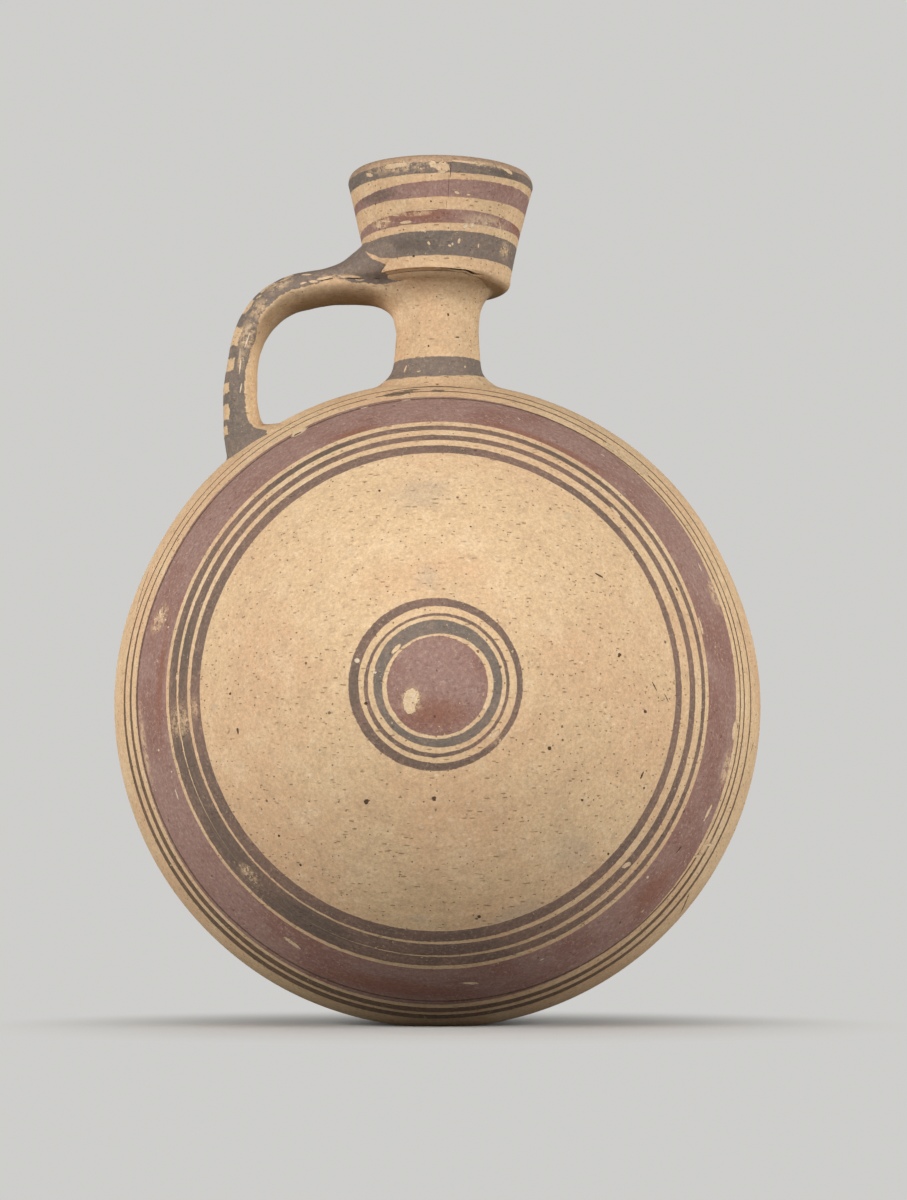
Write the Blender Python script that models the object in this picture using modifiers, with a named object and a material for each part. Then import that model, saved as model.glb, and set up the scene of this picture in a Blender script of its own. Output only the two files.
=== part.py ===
"""A barrel-shaped jug of fired clay, modelled as the separate pieces that its potter made.

Two thrown bowls lie on their side and meet rim to rim at the belly, so the barrel's axis runs along Y and
its front end faces -Y. A thrown neck straddles the belly seam over a pierced hole, a funnel mouth with an
overhanging ledge is luted onto the neck, and a strap handle joins the ledge to the barrel's left shoulder.
The jug stands on Z = 0, with the origin under the middle of the barrel. Metres, +Z up.
"""

import math

import bmesh
import bpy
import numpy as np
from mathutils import Euler, Matrix

mm = 0.001

# Luting: the clearance left where one piece of clay is joined to the next
luting_gap = 0.3 * mm
# How far a cutter, or a root that is cut back to its seat, runs past the surface that it has to reach
overrun = 8.0 * mm
# Points of a turned profile closer than this are one, as at the poles
weld_distance = 0.01 * mm

# The barrel
barrel_radius = 115.0 * mm
barrel_half_length = 105.7 * mm
barrel_wall = 6.5 * mm
barrel_end_share = 0.56
barrel_side_share = 1.6
belly_round_share = 0.15
rest_flat_depth = 1.0 * mm
barrel_outside_steps = 22
barrel_inside_steps = 10
barrel_turn_steps = 72

# The neck, with heights taken from the top of the barrel
neck_height = 33.2 * mm
neck_waist_height = 18.7 * mm
neck_bore_radius = 9.5 * mm
neck_waist_radius = 14.8 * mm
neck_shoulder_radius = 15.9 * mm
neck_foot_radius = 20.5 * mm
neck_collar_radius = 19.5 * mm
neck_foot_edge = 0.7 * mm
neck_foot_drape = 13.0 * mm
neck_offset = -0.3 * mm
neck_lean_back = math.radians(2.5)
neck_lean_right = math.radians(1.0)
foot_flare_share = 9.0
collar_flare_share = 3.7
neck_side_steps = 7
neck_seat_steps = 4
neck_turn_steps = 40

# The mouth, with heights taken from its seat on the neck
mouth_height = 42.2 * mm
mouth_rim_radius = 33.5 * mm
mouth_rim_drop = 3.5 * mm
mouth_ledge_radius = 26.0 * mm
mouth_ledge_height = 4.2 * mm
mouth_ledge_round = 1.8 * mm
mouth_lip_width = 4.8 * mm
mouth_side_share = 1.2
mouth_funnel_share = 0.7
mouth_side_steps = 8
mouth_turn_steps = 48

# The handle: how far the middle of the strap stands out from the neck's axis, and its section
handle_reach = 71.4 * mm
handle_thickness = 10.6 * mm
handle_width = 26.0 * mm
handle_corner_share = 0.8
handle_path_steps = 30
handle_section_steps = 20

# The strap's middle line from the mouth down to the barrel, as shares chosen by hand: how far out along the
# reach, how far up from the lower seat to the upper, then the thickness and the width
handle_path_shares = (
    (0.17, 1.05, 2.0, 1.35),
    (0.35, 1.01, 1.72, 1.3),
    (0.44, 0.975, 1.3, 1.15),
    (0.54, 0.96, 1.14, 1.03),
    (0.66, 0.938, 1.15, 1.0),
    (0.765, 0.898, 1.16, 1.0),
    (0.858, 0.818, 1.13, 1.0),
    (0.928, 0.70, 1.07, 1.0),
    (0.97, 0.543, 1.0, 1.0),
    (0.988, 0.33, 1.1, 1.0),
    (0.978, 0.135, 1.34, 1.05),
    (0.95, 0.0, 1.8, 1.12),
    (0.90, -0.18, 2.5, 1.25),
)
handle_seat_share = 0.955

# Worked out from the sizes above
barrel_centre_height = barrel_radius - rest_flat_depth
barrel_top = barrel_centre_height + barrel_radius
half_gap = luting_gap / 2

# Colours of the fired clay and the roughness of its surface
barrel_clay = (0.60, 0.42, 0.26, 1.0)
neck_clay = (0.64, 0.47, 0.30, 1.0)
mouth_clay = (0.62, 0.45, 0.29, 1.0)
handle_clay = (0.45, 0.33, 0.24, 1.0)
clay_roughness = 0.85


def clear_scene():
    for item in list(bpy.data.objects):
        bpy.data.objects.remove(item, do_unlink=True)


def new_collection(name):
    collection = bpy.data.collections.new(name)
    bpy.context.scene.collection.children.link(collection)
    return collection


def clay_material(name, colour):
    material = bpy.data.materials.new(name)
    material.use_nodes = True
    shader = material.node_tree.nodes["Principled BSDF"]
    shader.inputs["Base Color"].default_value = colour
    shader.inputs["Roughness"].default_value = clay_roughness
    shader.inputs["Metallic"].default_value = 0.0
    material.diffuse_color = colour
    return material


def grown(outline, distance):
    """An outline that runs down a piece's outside, moved out along its normals."""
    along = np.gradient(outline, axis=0)
    along /= np.linalg.norm(along, axis=1)[:, None]
    return outline + distance * np.column_stack((-along[:, 1], along[:, 0]))


def barrel_radius_share(along_share):
    """The barrel's radius at a share of its half length, as a share of the belly's radius.

    It is (1 - g) ** end, where g rises from 0 at the belly to 1 at the pole as a power of the distance.
    The power is taken of the hypotenuse with a small rounding, so that no ridge runs round the belly.
    """
    low = belly_round_share**barrel_side_share
    full = (1 + belly_round_share**2) ** (barrel_side_share / 2)
    reached = (along_share**2 + belly_round_share**2) ** (barrel_side_share / 2)
    return np.maximum(1 - (reached - low) / (full - low), 0.0) ** barrel_end_share


def barrel_outline(steps, offset=0.0, lowest=0.0):
    """Radii and distances along the axis, from the pole to the belly, moved out along the normals."""
    along_share = np.cos(np.linspace(0.0, math.acos(lowest / barrel_half_length), steps))
    radii = barrel_radius * barrel_radius_share(along_share)
    points = np.column_stack((radii, barrel_half_length * along_share))
    moved = grown(points, offset)
    moved[0] = (0.0, points[0, 1] + offset)
    moved[:, 1] = np.maximum(moved[:, 1], lowest)
    return moved


def barrel_surface(x, y):
    """Height of the barrel's outer surface over the ground at a place beside its middle."""
    along_share = np.clip(np.abs(y) / barrel_half_length, 0.0, 1.0)
    radius = barrel_radius * barrel_radius_share(along_share)
    return barrel_centre_height + np.sqrt(np.maximum(radius**2 - x**2, 0.0))


def neck_outline():
    """Radii and heights down the neck's outside, from its collar to the edge of its foot."""
    up = np.linspace(neck_height, neck_waist_height, neck_side_steps)
    risen = (up - neck_waist_height) / (neck_height - neck_waist_height)
    collar = neck_waist_radius + (neck_collar_radius - neck_waist_radius) * risen**collar_flare_share
    down = np.linspace(neck_waist_height, neck_foot_edge, neck_side_steps + 2)[1:]
    fallen = (neck_waist_height - down) / (neck_waist_height - neck_foot_edge)
    shoulder = neck_waist_radius + (neck_shoulder_radius - neck_waist_radius) * fallen
    foot = shoulder + (neck_foot_radius - neck_shoulder_radius) * fallen**foot_flare_share
    return np.column_stack((np.concatenate((collar, foot)), np.concatenate((up, down))))


def mouth_outline():
    """Radii and heights down the mouth's outside, from its lip to the inner edge of the underside."""
    lip_middle = mouth_rim_radius - mouth_lip_width / 2
    side_top = mouth_height - mouth_rim_drop
    lip_turn = np.linspace(0.0, math.pi / 2, 4)[:-1]
    lip_radius = lip_middle + (mouth_rim_radius - lip_middle) * np.sin(lip_turn)
    lip_height = side_top + mouth_rim_drop * np.cos(lip_turn)
    up = np.linspace(side_top, mouth_ledge_height, mouth_side_steps)
    risen = (up - mouth_ledge_height) / (side_top - mouth_ledge_height)
    side = mouth_ledge_radius + (mouth_rim_radius - mouth_ledge_radius) * risen**mouth_side_share
    under_radius = (mouth_ledge_radius - mouth_ledge_round / 4, mouth_ledge_radius - mouth_ledge_round)
    under_height = (mouth_ledge_height - mouth_ledge_round, mouth_ledge_round / 2)
    radii = np.concatenate((lip_radius, side, under_radius, (neck_collar_radius,)))
    heights = np.concatenate((lip_height, up, under_height, (0.0,)))
    return np.column_stack((radii, heights))


def wire_object(name, points, closed, collection):
    """A profile in the XZ plane as a mesh of edges: its points are radii and heights."""
    vertices = [(float(radius), 0.0, float(height)) for radius, height in points]
    edges = [(i, i + 1) for i in range(len(vertices) - 1)]
    if closed:
        edges.append((len(vertices) - 1, 0))
    mesh = bpy.data.meshes.new(name)
    mesh.from_pydata(vertices, edges, [])
    made = bpy.data.objects.new(name, mesh)
    collection.objects.link(made)
    return made


def turned_object(name, points, closed, steps, collection):
    """A profile turned about its own Z axis, as on the wheel."""
    made = wire_object(name, points, closed, collection)
    screw = made.modifiers.new("wheel", "SCREW")
    screw.axis = "Z"
    screw.angle = 2 * math.pi
    screw.steps = steps
    screw.render_steps = steps
    screw.use_merge_vertices = True
    screw.merge_threshold = weld_distance
    screw.use_smooth_shade = True
    return made


def frozen_mesh(made):
    """The object's mesh as its modifiers leave it, in place of the object."""
    bpy.context.view_layer.update()
    graph = bpy.context.evaluated_depsgraph_get()
    mesh = bpy.data.meshes.new_from_object(made.evaluated_get(graph))
    mesh.transform(made.matrix_world)
    bpy.data.objects.remove(made, do_unlink=True)
    return mesh


def as_cutter(made):
    made.hide_render = True
    made.display_type = "WIRE"
    return made


def cut(made, cutter, name):
    boolean = made.modifiers.new(name, "BOOLEAN")
    boolean.operation = "DIFFERENCE"
    boolean.solver = "EXACT"
    boolean.object = cutter


def neck_frame():
    """Where the neck's axis stands on the barrel, and how it leans."""
    lean = Euler((-neck_lean_back, neck_lean_right, 0.0)).to_matrix().to_4x4()
    return Matrix.Translation((neck_offset, 0.0, barrel_top)) @ lean


def neck_empty(collection):
    """An empty at the foot of the neck's leaning axis, which carries the mouth and the cutters."""
    empty = bpy.data.objects.new("neck_axis", None)
    empty.matrix_world = neck_frame()
    collection.objects.link(empty)
    return empty


def barrel_half(name, side, collection):
    """One thrown bowl. Its own axis runs out through its end, to -Y for the front and +Y for the back."""
    outside = barrel_outline(barrel_outside_steps, 0.0, half_gap)
    inside = barrel_outline(barrel_inside_steps, -barrel_wall, half_gap)
    profile = np.concatenate((outside, inside[::-1]))
    made = turned_object(name, profile, False, barrel_turn_steps, collection)
    made.location = (0.0, 0.0, barrel_centre_height)
    made.rotation_euler = (-side * math.pi / 2, 0.0, 0.0)
    return made


def floor_cutter(collection):
    """A block under the ground plane, which leaves the small flat that the jug rests on."""
    bpy.ops.mesh.primitive_cube_add(size=1.0)
    made = bpy.context.object
    made.name = "floor_cutter"
    deep = rest_flat_depth + overrun
    made.scale = (2 * barrel_radius, 2 * barrel_half_length, deep)
    made.location = (0.0, 0.0, -deep / 2)
    for holder in list(made.users_collection):
        holder.objects.unlink(made)
    collection.objects.link(made)
    return as_cutter(made)


def bore_cutter(empty, collection):
    """The hole pierced through the belly under the neck, as wide as the neck's bore."""
    low = -(barrel_wall + overrun)
    points = ((0.0, overrun), (neck_bore_radius, overrun), (neck_bore_radius, low), (0.0, low))
    made = turned_object("bore_cutter", points, False, neck_turn_steps, collection)
    made.parent = empty
    return as_cutter(made)


def seated_on_barrel(points):
    """Bends a turned neck onto the barrel.

    Above its foot the neck follows its leaning axis. Towards the foot the lean fades out and each point
    drops by as much as the barrel's surface falls away under it, so the underside follows the double curve
    and keeps the luting gap.
    """
    frame = np.array(neck_frame())
    leaning = points @ frame[:3, :3].T + frame[:3, 3]
    upright = points + frame[:3, 3]
    height = points[:, 2]
    seated = np.clip((neck_foot_drape - height) / (neck_foot_drape - luting_gap), 0.0, 1.0) ** 2
    placed = seated[:, None] * upright + (1 - seated[:, None]) * leaning
    fall = barrel_surface(placed[:, 0], placed[:, 1]) - barrel_top
    placed[:, 2] += seated * fall
    return placed


def neck(collection):
    outside = neck_outline()
    seat = np.linspace(neck_foot_radius, neck_bore_radius, neck_seat_steps)
    underside = np.column_stack((seat, np.full(neck_seat_steps, luting_gap)))
    rises = np.array((neck_foot_drape / 3, neck_foot_drape, neck_height))
    bore = np.column_stack((np.full(len(rises), neck_bore_radius), rises))
    profile = np.concatenate((outside, underside, bore))
    turned = turned_object("neck", profile, True, neck_turn_steps, collection)
    mesh = frozen_mesh(turned)
    flat = np.empty(len(mesh.vertices) * 3)
    mesh.vertices.foreach_get("co", flat)
    mesh.vertices.foreach_set("co", seated_on_barrel(flat.reshape(-1, 3)).ravel())
    mesh.update()
    made = bpy.data.objects.new("neck", mesh)
    collection.objects.link(made)
    return made


def mouth(empty, collection):
    """A ledge that overhangs the neck, a flaring side, a rounded lip and a funnel inside."""
    outside = mouth_outline()
    seat = neck_height + luting_gap
    up = np.linspace(0.0, mouth_height - mouth_rim_drop, mouth_side_steps)
    lip_inner = mouth_rim_radius - mouth_lip_width
    risen = up / (mouth_height - mouth_rim_drop)
    funnel_radius = neck_bore_radius + (lip_inner - neck_bore_radius) * risen**mouth_funnel_share
    funnel = np.column_stack((funnel_radius, up))
    lip_shoulder = (lip_inner + mouth_lip_width / 8, mouth_height - mouth_rim_drop / 3)
    profile = np.concatenate((outside, funnel, (lip_shoulder,)))
    profile[:, 1] += seat
    made = turned_object("mouth", profile, True, mouth_turn_steps, collection)
    made.parent = empty
    return made


def smooth_path(rows, steps):
    """Catmull-Rom curve through every row of values, sampled evenly in its parameter."""
    rows = np.asarray(rows, float)
    padded = np.concatenate((2 * rows[:1] - rows[1:2], rows, 2 * rows[-1:] - rows[-2:-1]))
    place = np.linspace(0.0, len(rows) - 1, steps)
    start = np.minimum(place.astype(int), len(rows) - 2)
    t = (place - start)[:, None]
    a, b, c, d = (padded[start + i] for i in range(4))
    return ((2 * b) + (c - a) * t + (2 * a - 5 * b + 4 * c - d) * t**2 + (3 * b - a - 3 * c + d) * t**3) / 2


def handle_lines():
    """The strap's middle line in the neck's leaning plane, with its half thickness and half width."""
    shares = smooth_path(handle_path_shares, handle_path_steps)
    across = neck_offset - handle_reach * shares[:, 0]
    seat_x = neck_offset - handle_reach * handle_seat_share
    low = float(barrel_surface(seat_x, 0.0))
    high = barrel_top + neck_height + mouth_ledge_height
    up = low + (high - low) * shares[:, 1]
    back = (up - barrel_top) * math.tan(neck_lean_back)
    middle = np.column_stack((across, back, up))
    return middle, handle_thickness / 2 * shares[:, 2], handle_width / 2 * shares[:, 3]


def handle(collection):
    """The strap, lofted along its line with a rounded oblong section. Its roots run past their seats."""
    middle, thick, wide = handle_lines()
    along = np.gradient(middle, axis=0)
    along[:, 1] = 0.0
    along /= np.linalg.norm(along, axis=1)[:, None]
    outward = np.column_stack((along[:, 2], np.zeros(len(along)), -along[:, 0]))
    turn = np.linspace(0.0, 2 * math.pi, handle_section_steps, endpoint=False)
    rise = np.sign(np.cos(turn)) * np.abs(np.cos(turn)) ** handle_corner_share
    side = np.sign(np.sin(turn)) * np.abs(np.sin(turn)) ** handle_corner_share
    section = middle[:, None, :] + (thick[:, None] * rise)[:, :, None] * outward[:, None, :]
    section[:, :, 1] += wide[:, None] * side
    shape = bmesh.new()
    rings = [[shape.verts.new(point) for point in ring] for ring in section]
    for ring, following in zip(rings[:-1], rings[1:]):
        for i in range(handle_section_steps):
            j = (i + 1) % handle_section_steps
            shape.faces.new((ring[i], ring[j], following[j], following[i]))
    shape.faces.new(rings[0])
    shape.faces.new(rings[-1])
    bmesh.ops.recalc_face_normals(shape, faces=shape.faces)
    mesh = bpy.data.meshes.new("handle")
    shape.to_mesh(mesh)
    shape.free()
    made = bpy.data.objects.new("handle", mesh)
    collection.objects.link(made)
    return made


def barrel_seat_cutter(collection):
    """The barrel's outside grown by the luting gap: what the handle's lower root is cut back to."""
    front = barrel_outline(barrel_outside_steps, luting_gap, 0.0)
    back = front[-2::-1] * (1.0, -1.0)
    profile = np.concatenate((front, back))
    made = turned_object("barrel_seat_cutter", profile, False, barrel_turn_steps, collection)
    made.location = (0.0, 0.0, barrel_centre_height)
    made.rotation_euler = (math.pi / 2, 0.0, 0.0)
    return as_cutter(made)


def mouth_seat_cutter(empty, collection):
    """The mouth grown by the luting gap and filled: what the handle's upper root is cut back to."""
    outline = grown(mouth_outline(), luting_gap) + (0.0, neck_height + luting_gap)
    ends_top = (0.0, outline[0, 1])
    ends_low = (0.0, outline[-1, 1])
    profile = np.concatenate(((ends_top,), outline, (ends_low,)))
    made = turned_object("mouth_seat_cutter", profile, False, mouth_turn_steps, collection)
    made.parent = empty
    return as_cutter(made)


def neck_seat_cutter(empty, collection):
    """The upper neck grown by the luting gap and filled, so that the root also clears the collar."""
    outline = grown(neck_outline()[:neck_side_steps], luting_gap)
    top = neck_height + mouth_ledge_height
    brim = ((0.0, top), (neck_collar_radius + luting_gap, top))
    profile = np.concatenate((brim, outline, ((0.0, outline[-1, 1]),)))
    made = turned_object("neck_seat_cutter", profile, False, neck_turn_steps, collection)
    made.parent = empty
    return as_cutter(made)


def finish(made, material):
    made.data.materials.clear()
    made.data.materials.append(material)
    if made.data.polygons:
        made.data.shade_smooth()
        made.data.set_sharp_from_angle(angle=math.radians(35))


def build_jug():
    clear_scene()
    jug = new_collection("barrel_jug")
    cutters = new_collection("barrel_jug_cutters")
    axis = neck_empty(jug)

    floor = floor_cutter(cutters)
    bore = bore_cutter(axis, cutters)
    for name, side in (("barrel_front_half", -1), ("barrel_back_half", 1)):
        bowl = barrel_half(name, side, jug)
        cut(bowl, floor, "rest_flat")
        cut(bowl, bore, "neck_hole")
        finish(bowl, clay_material(name + "_clay", barrel_clay))

    finish(neck(jug), clay_material("neck_clay", neck_clay))
    finish(mouth(axis, jug), clay_material("mouth_clay", mouth_clay))

    strap = handle(jug)
    cut(strap, barrel_seat_cutter(cutters), "lower_seat")
    cut(strap, mouth_seat_cutter(axis, cutters), "upper_seat")
    cut(strap, neck_seat_cutter(axis, cutters), "collar_seat")
    finish(strap, clay_material("handle_clay", handle_clay))


build_jug()
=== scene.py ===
import math

import bpy
import numpy as np
from mathutils import Matrix


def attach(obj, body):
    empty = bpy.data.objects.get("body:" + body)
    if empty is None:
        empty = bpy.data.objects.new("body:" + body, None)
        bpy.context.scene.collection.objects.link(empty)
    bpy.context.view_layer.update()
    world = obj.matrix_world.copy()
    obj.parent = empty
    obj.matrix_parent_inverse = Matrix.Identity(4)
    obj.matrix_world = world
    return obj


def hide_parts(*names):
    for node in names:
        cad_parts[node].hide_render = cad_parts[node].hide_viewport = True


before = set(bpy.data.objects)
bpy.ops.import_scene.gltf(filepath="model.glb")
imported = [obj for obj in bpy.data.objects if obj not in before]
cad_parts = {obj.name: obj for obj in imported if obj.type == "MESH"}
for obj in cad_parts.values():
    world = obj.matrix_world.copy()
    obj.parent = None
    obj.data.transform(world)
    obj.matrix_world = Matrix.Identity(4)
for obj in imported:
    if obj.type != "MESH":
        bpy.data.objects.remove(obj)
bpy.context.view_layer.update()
print("frame loaded with", len(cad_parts), "clay pieces")

mm = 0.001
sharpAngle = 50.0  # degrees; edges sharper than this are shaded sharp
frameStep = 0.2  # the step that finds a skin's directions at a mark

# The camera stands a little below the barrel's middle and looks slightly up
camera = dict(lens=101.49, sensor=36.0, distance=1205.4, below=3.3, turnRight=0.269, tiltUp=5.039,
              clip=(0.05, 20.0))

# Two large soft boxes, one at each side of the camera, and a dim even sky
studio = dict(
    rightPower=35.2, leftPower=37.4, boxDistance=2000.0, boxSide=1000.0, boxTurn=54.0, boxRise=14.5,
    lampColour=(1.0, 0.985, 0.96), skyStrength=0.09, paleSky=0.62,
    floorRadius=2300.0, wallRadius=3000.0, wallHeight=2600.0, floorPale=(0.80, 0.80, 0.79), floorDim=0.12,
    # near the jug the camera sees the lit floor with the jug's shadow, and further off an even pale tone
    shadowReach=45.0, evenReach=175.0, evenTone=(0.62, 0.615, 0.60),
)


def addObject(name, data):
    made = bpy.data.objects.new(name, data)
    bpy.context.scene.collection.objects.link(made)
    return made


def makeCamera():
    data = bpy.data.cameras.new("photoCamera")
    data.lens, data.sensor_width = camera["lens"], camera["sensor"]
    data.clip_start, data.clip_end = camera["clip"]
    made = addObject("photoCamera", data)
    below = math.radians(camera["below"])
    height = barrel["centreHeight"] - camera["distance"] * math.sin(below)
    made.location = (0.0, -camera["distance"] * math.cos(below) * mm, height * mm)
    made.rotation_euler = (math.radians(90 + camera["tiltUp"]), 0.0, -math.radians(camera["turnRight"]))
    bpy.context.scene.camera = made


def makeLamp(name, power, side):
    # an area lamp that faces the barrel's middle: it stands boxTurn degrees round from the front, boxRise up
    data = bpy.data.lights.new(name, "AREA")
    data.shape, data.size, data.energy = "SQUARE", studio["boxSide"] * mm, power
    data.color = studio["lampColour"]
    made = addObject(name, data)
    turn, rise = math.radians(studio["boxTurn"]) * side, math.radians(studio["boxRise"])
    away = np.array((math.sin(turn) * math.cos(rise), -math.cos(turn) * math.cos(rise), math.sin(rise)))
    made.location = (away * studio["boxDistance"] + (0.0, 0.0, barrel["centreHeight"])) * mm
    made.rotation_euler = (math.pi / 2 - rise, 0.0, turn)


# Node helpers

def startTree(tree):
    # empties a node tree; the helpers below add their nodes to the tree that was started last
    global currentTree
    currentTree = tree
    tree.nodes.clear()


def newMaterial(name):
    material = bpy.data.materials.new(name)
    material.use_nodes = True
    startTree(material.node_tree)
    return material


def make(kind, inputs=None, out=0, **settings):
    # adds one shader node and gives back the output asked for; a socket among the inputs is linked, a value
    # is set
    node = currentTree.nodes.new("ShaderNode" + kind)
    for key, value in settings.items():
        setattr(node, key, value)
    for key, value in (inputs or {}).items():
        if isinstance(value, bpy.types.NodeSocket):
            currentTree.links.new(value, node.inputs[key])
        else:
            node.inputs[key].default_value = value
    return node.outputs[out] if len(node.outputs) else node


def calc(operation, first, second=0.0, third=0.0):
    return make("Math", {0: first, 1: second, 2: third}, operation=operation)


def times(first, second):
    return calc("MULTIPLY", first, second)


def minus(first, second):
    return calc("SUBTRACT", first, second)


def scaled(value, by, plus):
    return calc("MULTIPLY_ADD", value, by, plus)


def ramp(value, low, high, toLow=0.0, toHigh=1.0):
    # a smooth step from toLow to toHigh as the value goes from low to high, level before and after
    inputs = {"Value": value, "From Min": low, "From Max": high, "To Min": toLow, "To Max": toHigh}
    return make("MapRange", inputs, interpolation_type="SMOOTHSTEP", clamp=False)


def rgba(colour):
    return colour if isinstance(colour, bpy.types.NodeSocket) else (*colour, 1.0)


def blend(share, under, over):
    return make("Mix", {0: share, 6: rgba(under), 7: rgba(over)}, out=2, data_type="RGBA")


def noise(vector, size, detail, roughness):
    # cloudy noise whose features are about size millimetres across, 0 to 1 round a mean of a half
    return make("TexNoise", {"Vector": vector, "Scale": 1.0 / size, "Detail": detail, "Roughness": roughness})


def slanted(vector, turn, scales):
    # the place turned about the barrel's axis, then stretched, so that spots become short strokes
    return make("Mapping", {"Vector": vector, "Rotation": (0.0, math.radians(turn), 0.0), "Scale": scales})


def specks(vector, size, radius, share, strength=None):
    # small crisp spots on a share of the cells that are size across, half of them at the full radius
    distance = make("TexVoronoi", {"Vector": vector, "Scale": 1.0 / size})
    chosen = make("SeparateColor", {0: distance.node.outputs["Color"]})
    reach = ramp(chosen, 1.0 - share, 1.0 - 0.5 * share, 0.0, radius / size)
    spots = ramp(minus(reach, distance), 0.0, 0.25 * radius / size)
    return spots if strength is None else times(spots, strength)


def ringEdge(place, wander, five):
    # 1 beyond a ring's edge, 0 before it: the edge lies at mean + a cos + b sin + c cos twice + d sin twice
    mean, *turns = five
    swing = make("VectorMath", {0: wander[0], 1: turns[:3]}, out="Value", operation="DOT_PRODUCT")
    past = minus(place, scaled(wander[1], turns[3], swing))
    return ramp(past, mean - paintBlur, mean + paintBlur)


def paintedRing(place, wander, start, end):
    beyond = ringEdge(place, wander, end)
    if start is None:
        return minus(1.0, beyond)
    return calc("MAXIMUM", minus(ringEdge(place, wander, start), beyond), 0.0)


def together(masks):
    # the larger of several masks
    whole = masks[0]
    for mask in masks[1:]:
        whole = calc("MAXIMUM", whole, mask)
    return whole


def ringMasks(rings, place, wander):
    # for each paint, where one of its rings lies
    kinds = {}
    for start, end, kind in rings:
        kinds.setdefault(kind, []).append(paintedRing(place, wander, start, end))
    return {kind: together(masks) for kind, masks in kinds.items()}


def readPlace(name):
    # the piece's own attribute: a distance, then a cosine and a sine of the place round the wheel
    vector = make("Attribute", attribute_name=name, out="Vector")
    distance, cosine, sine = make("SeparateXYZ", {0: vector}).node.outputs
    twiceCos = minus(times(cosine, cosine), times(sine, sine))
    twiceSin = times(times(cosine, sine), 2.0)
    wander = make("CombineXYZ", {0: cosine, 1: sine, 2: twiceCos})
    return distance, (wander, twiceSin), vector


def brushed(vector, along, across):
    # where the brush streaks are read: stretched round the wheel, because across is larger
    return make("VectorMath", {0: vector, 1: (along, across, across)}, operation="MULTIPLY")


def nearestSpot(place, spots, frameAt):
    # how far the place is from a set of oval marks, in shares of each mark's own size: 1 is its edge. A
    # mark is its place on the skin (two numbers), its length, its width and its tilt; frameAt gives a point
    # of the skin and the skin's two directions there
    within = None
    for first, second, long, wide, tilt in spots:
        point, forward, across = frameAt(first, second)
        turn = math.radians(tilt)
        longWay = forward * math.cos(turn) + across * math.sin(turn)
        wideWay = across * math.cos(turn) - forward * math.sin(turn)
        rotation = Matrix(np.column_stack((longWay, wideWay, np.cross(longWay, wideWay))).tolist()).to_euler()
        inputs = {"Vector": place, "Location": point, "Rotation": rotation, "Scale": (long, wide, 2 * long)}
        local = make("Mapping", inputs, vector_type="TEXTURE")
        # the spherical gradient falls from 1 at the mark's middle to a half at its edge
        nearer = make("TexGradient", {"Vector": local}, out="Fac", gradient_type="SPHERICAL")
        within = nearer if within is None else calc("MAXIMUM", within, nearer)
    return scaled(within, -2.0, 2.0)


# The clay, as linear colours, and its grain
clay = dict(
    buff=(0.745, 0.530, 0.318), warm=(0.725, 0.475, 0.285), pale=(0.83, 0.63, 0.41),
    dim=(0.605, 0.422, 0.260), pit=(0.18, 0.108, 0.062), hole=(0.06, 0.035, 0.022), stroke=(0.36, 0.23, 0.13),
    crust=(0.84, 0.69, 0.50), stain=(0.50, 0.41, 0.31), smear=(0.13, 0.10, 0.08), soot=(0.125, 0.100, 0.084),
    brick=(0.300, 0.130, 0.088),
    roughness=0.86, paintRoughness=0.76, specular=0.18,
    # each noise's size in millimetres, its detail and its roughness
    noises=dict(
        cloud=(46.0, 3.0, 0.55), patch=(17.0, 3.0, 0.6), mottle=(4.6, 3.0, 0.6), fine=(1.25, 3.0, 0.7),
        drift=(26.0, 3.0, 0.6), powder=(1.5, 4.0, 0.76), wearWhere=(13.0, 3.0, 0.62), scuff=(0.9, 3.0, 0.62),
        chips=(2.6, 4.0, 0.66), rubbed=(2.1, 4.0, 0.7),
    ),
    grit=(0.42, 1.0, 0.5), gritStretch=(0.6, 1.0, 1.0), gritTurn=8.0,
    # the clay's tints: a noise, the levels where the tint starts and is full, its share and its colour
    tints=(
        ("cloud", 0.42, 0.64, 0.85, "warm"), ("patch", 0.50, 0.72, 0.50, "pale"),
        ("patch", 0.46, 0.30, 0.38, "dim"), ("mottle", 0.54, 0.72, 0.42, "pale"),
        ("mottle", 0.46, 0.28, 0.62, "dim"),
    ),
    # specks: the size of their cells, their radius, their share of the cells, how strongly they show
    finePits=(2.0, 0.32, 0.55, 0.72), middlePits=(7.0, 0.56, 0.30, 0.85), glints=(2.7, 0.50, 0.34, 0.55),
    glintTurn=25.0, glintStretch=(0.5, 0.9, 1.2),
    # strokes: the turn, the size of the cells and their share
    strokes=((12.0, 2.0, 0.60), (-38.0, 2.3, 0.55), (75.0, 2.8, 0.50)), strokeRadius=0.36,
    strokeStretch=(0.32, 0.8, 1.4),
    # soft marks: how ragged, the distance where they start and are full, and their share
    softMarks=dict(
        stain=(0.35, 1.05, 0.25, 0.36), worn=(0.3, 1.15, 0.35, 1.0), brick=(0.4, 1.15, 0.25, 0.74),
        soot=(0.4, 1.15, 0.35, 0.60),
    ),
    # how high paint, missing paint, crust, pits and the three noises stand on the clay, in millimetres
    paintRise=0.045, bareRise=-0.22, paleRise=0.16, pitRise=-0.34, fineRise=0.055, mottleRise=0.10,
    gritRise=0.022,
)

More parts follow.
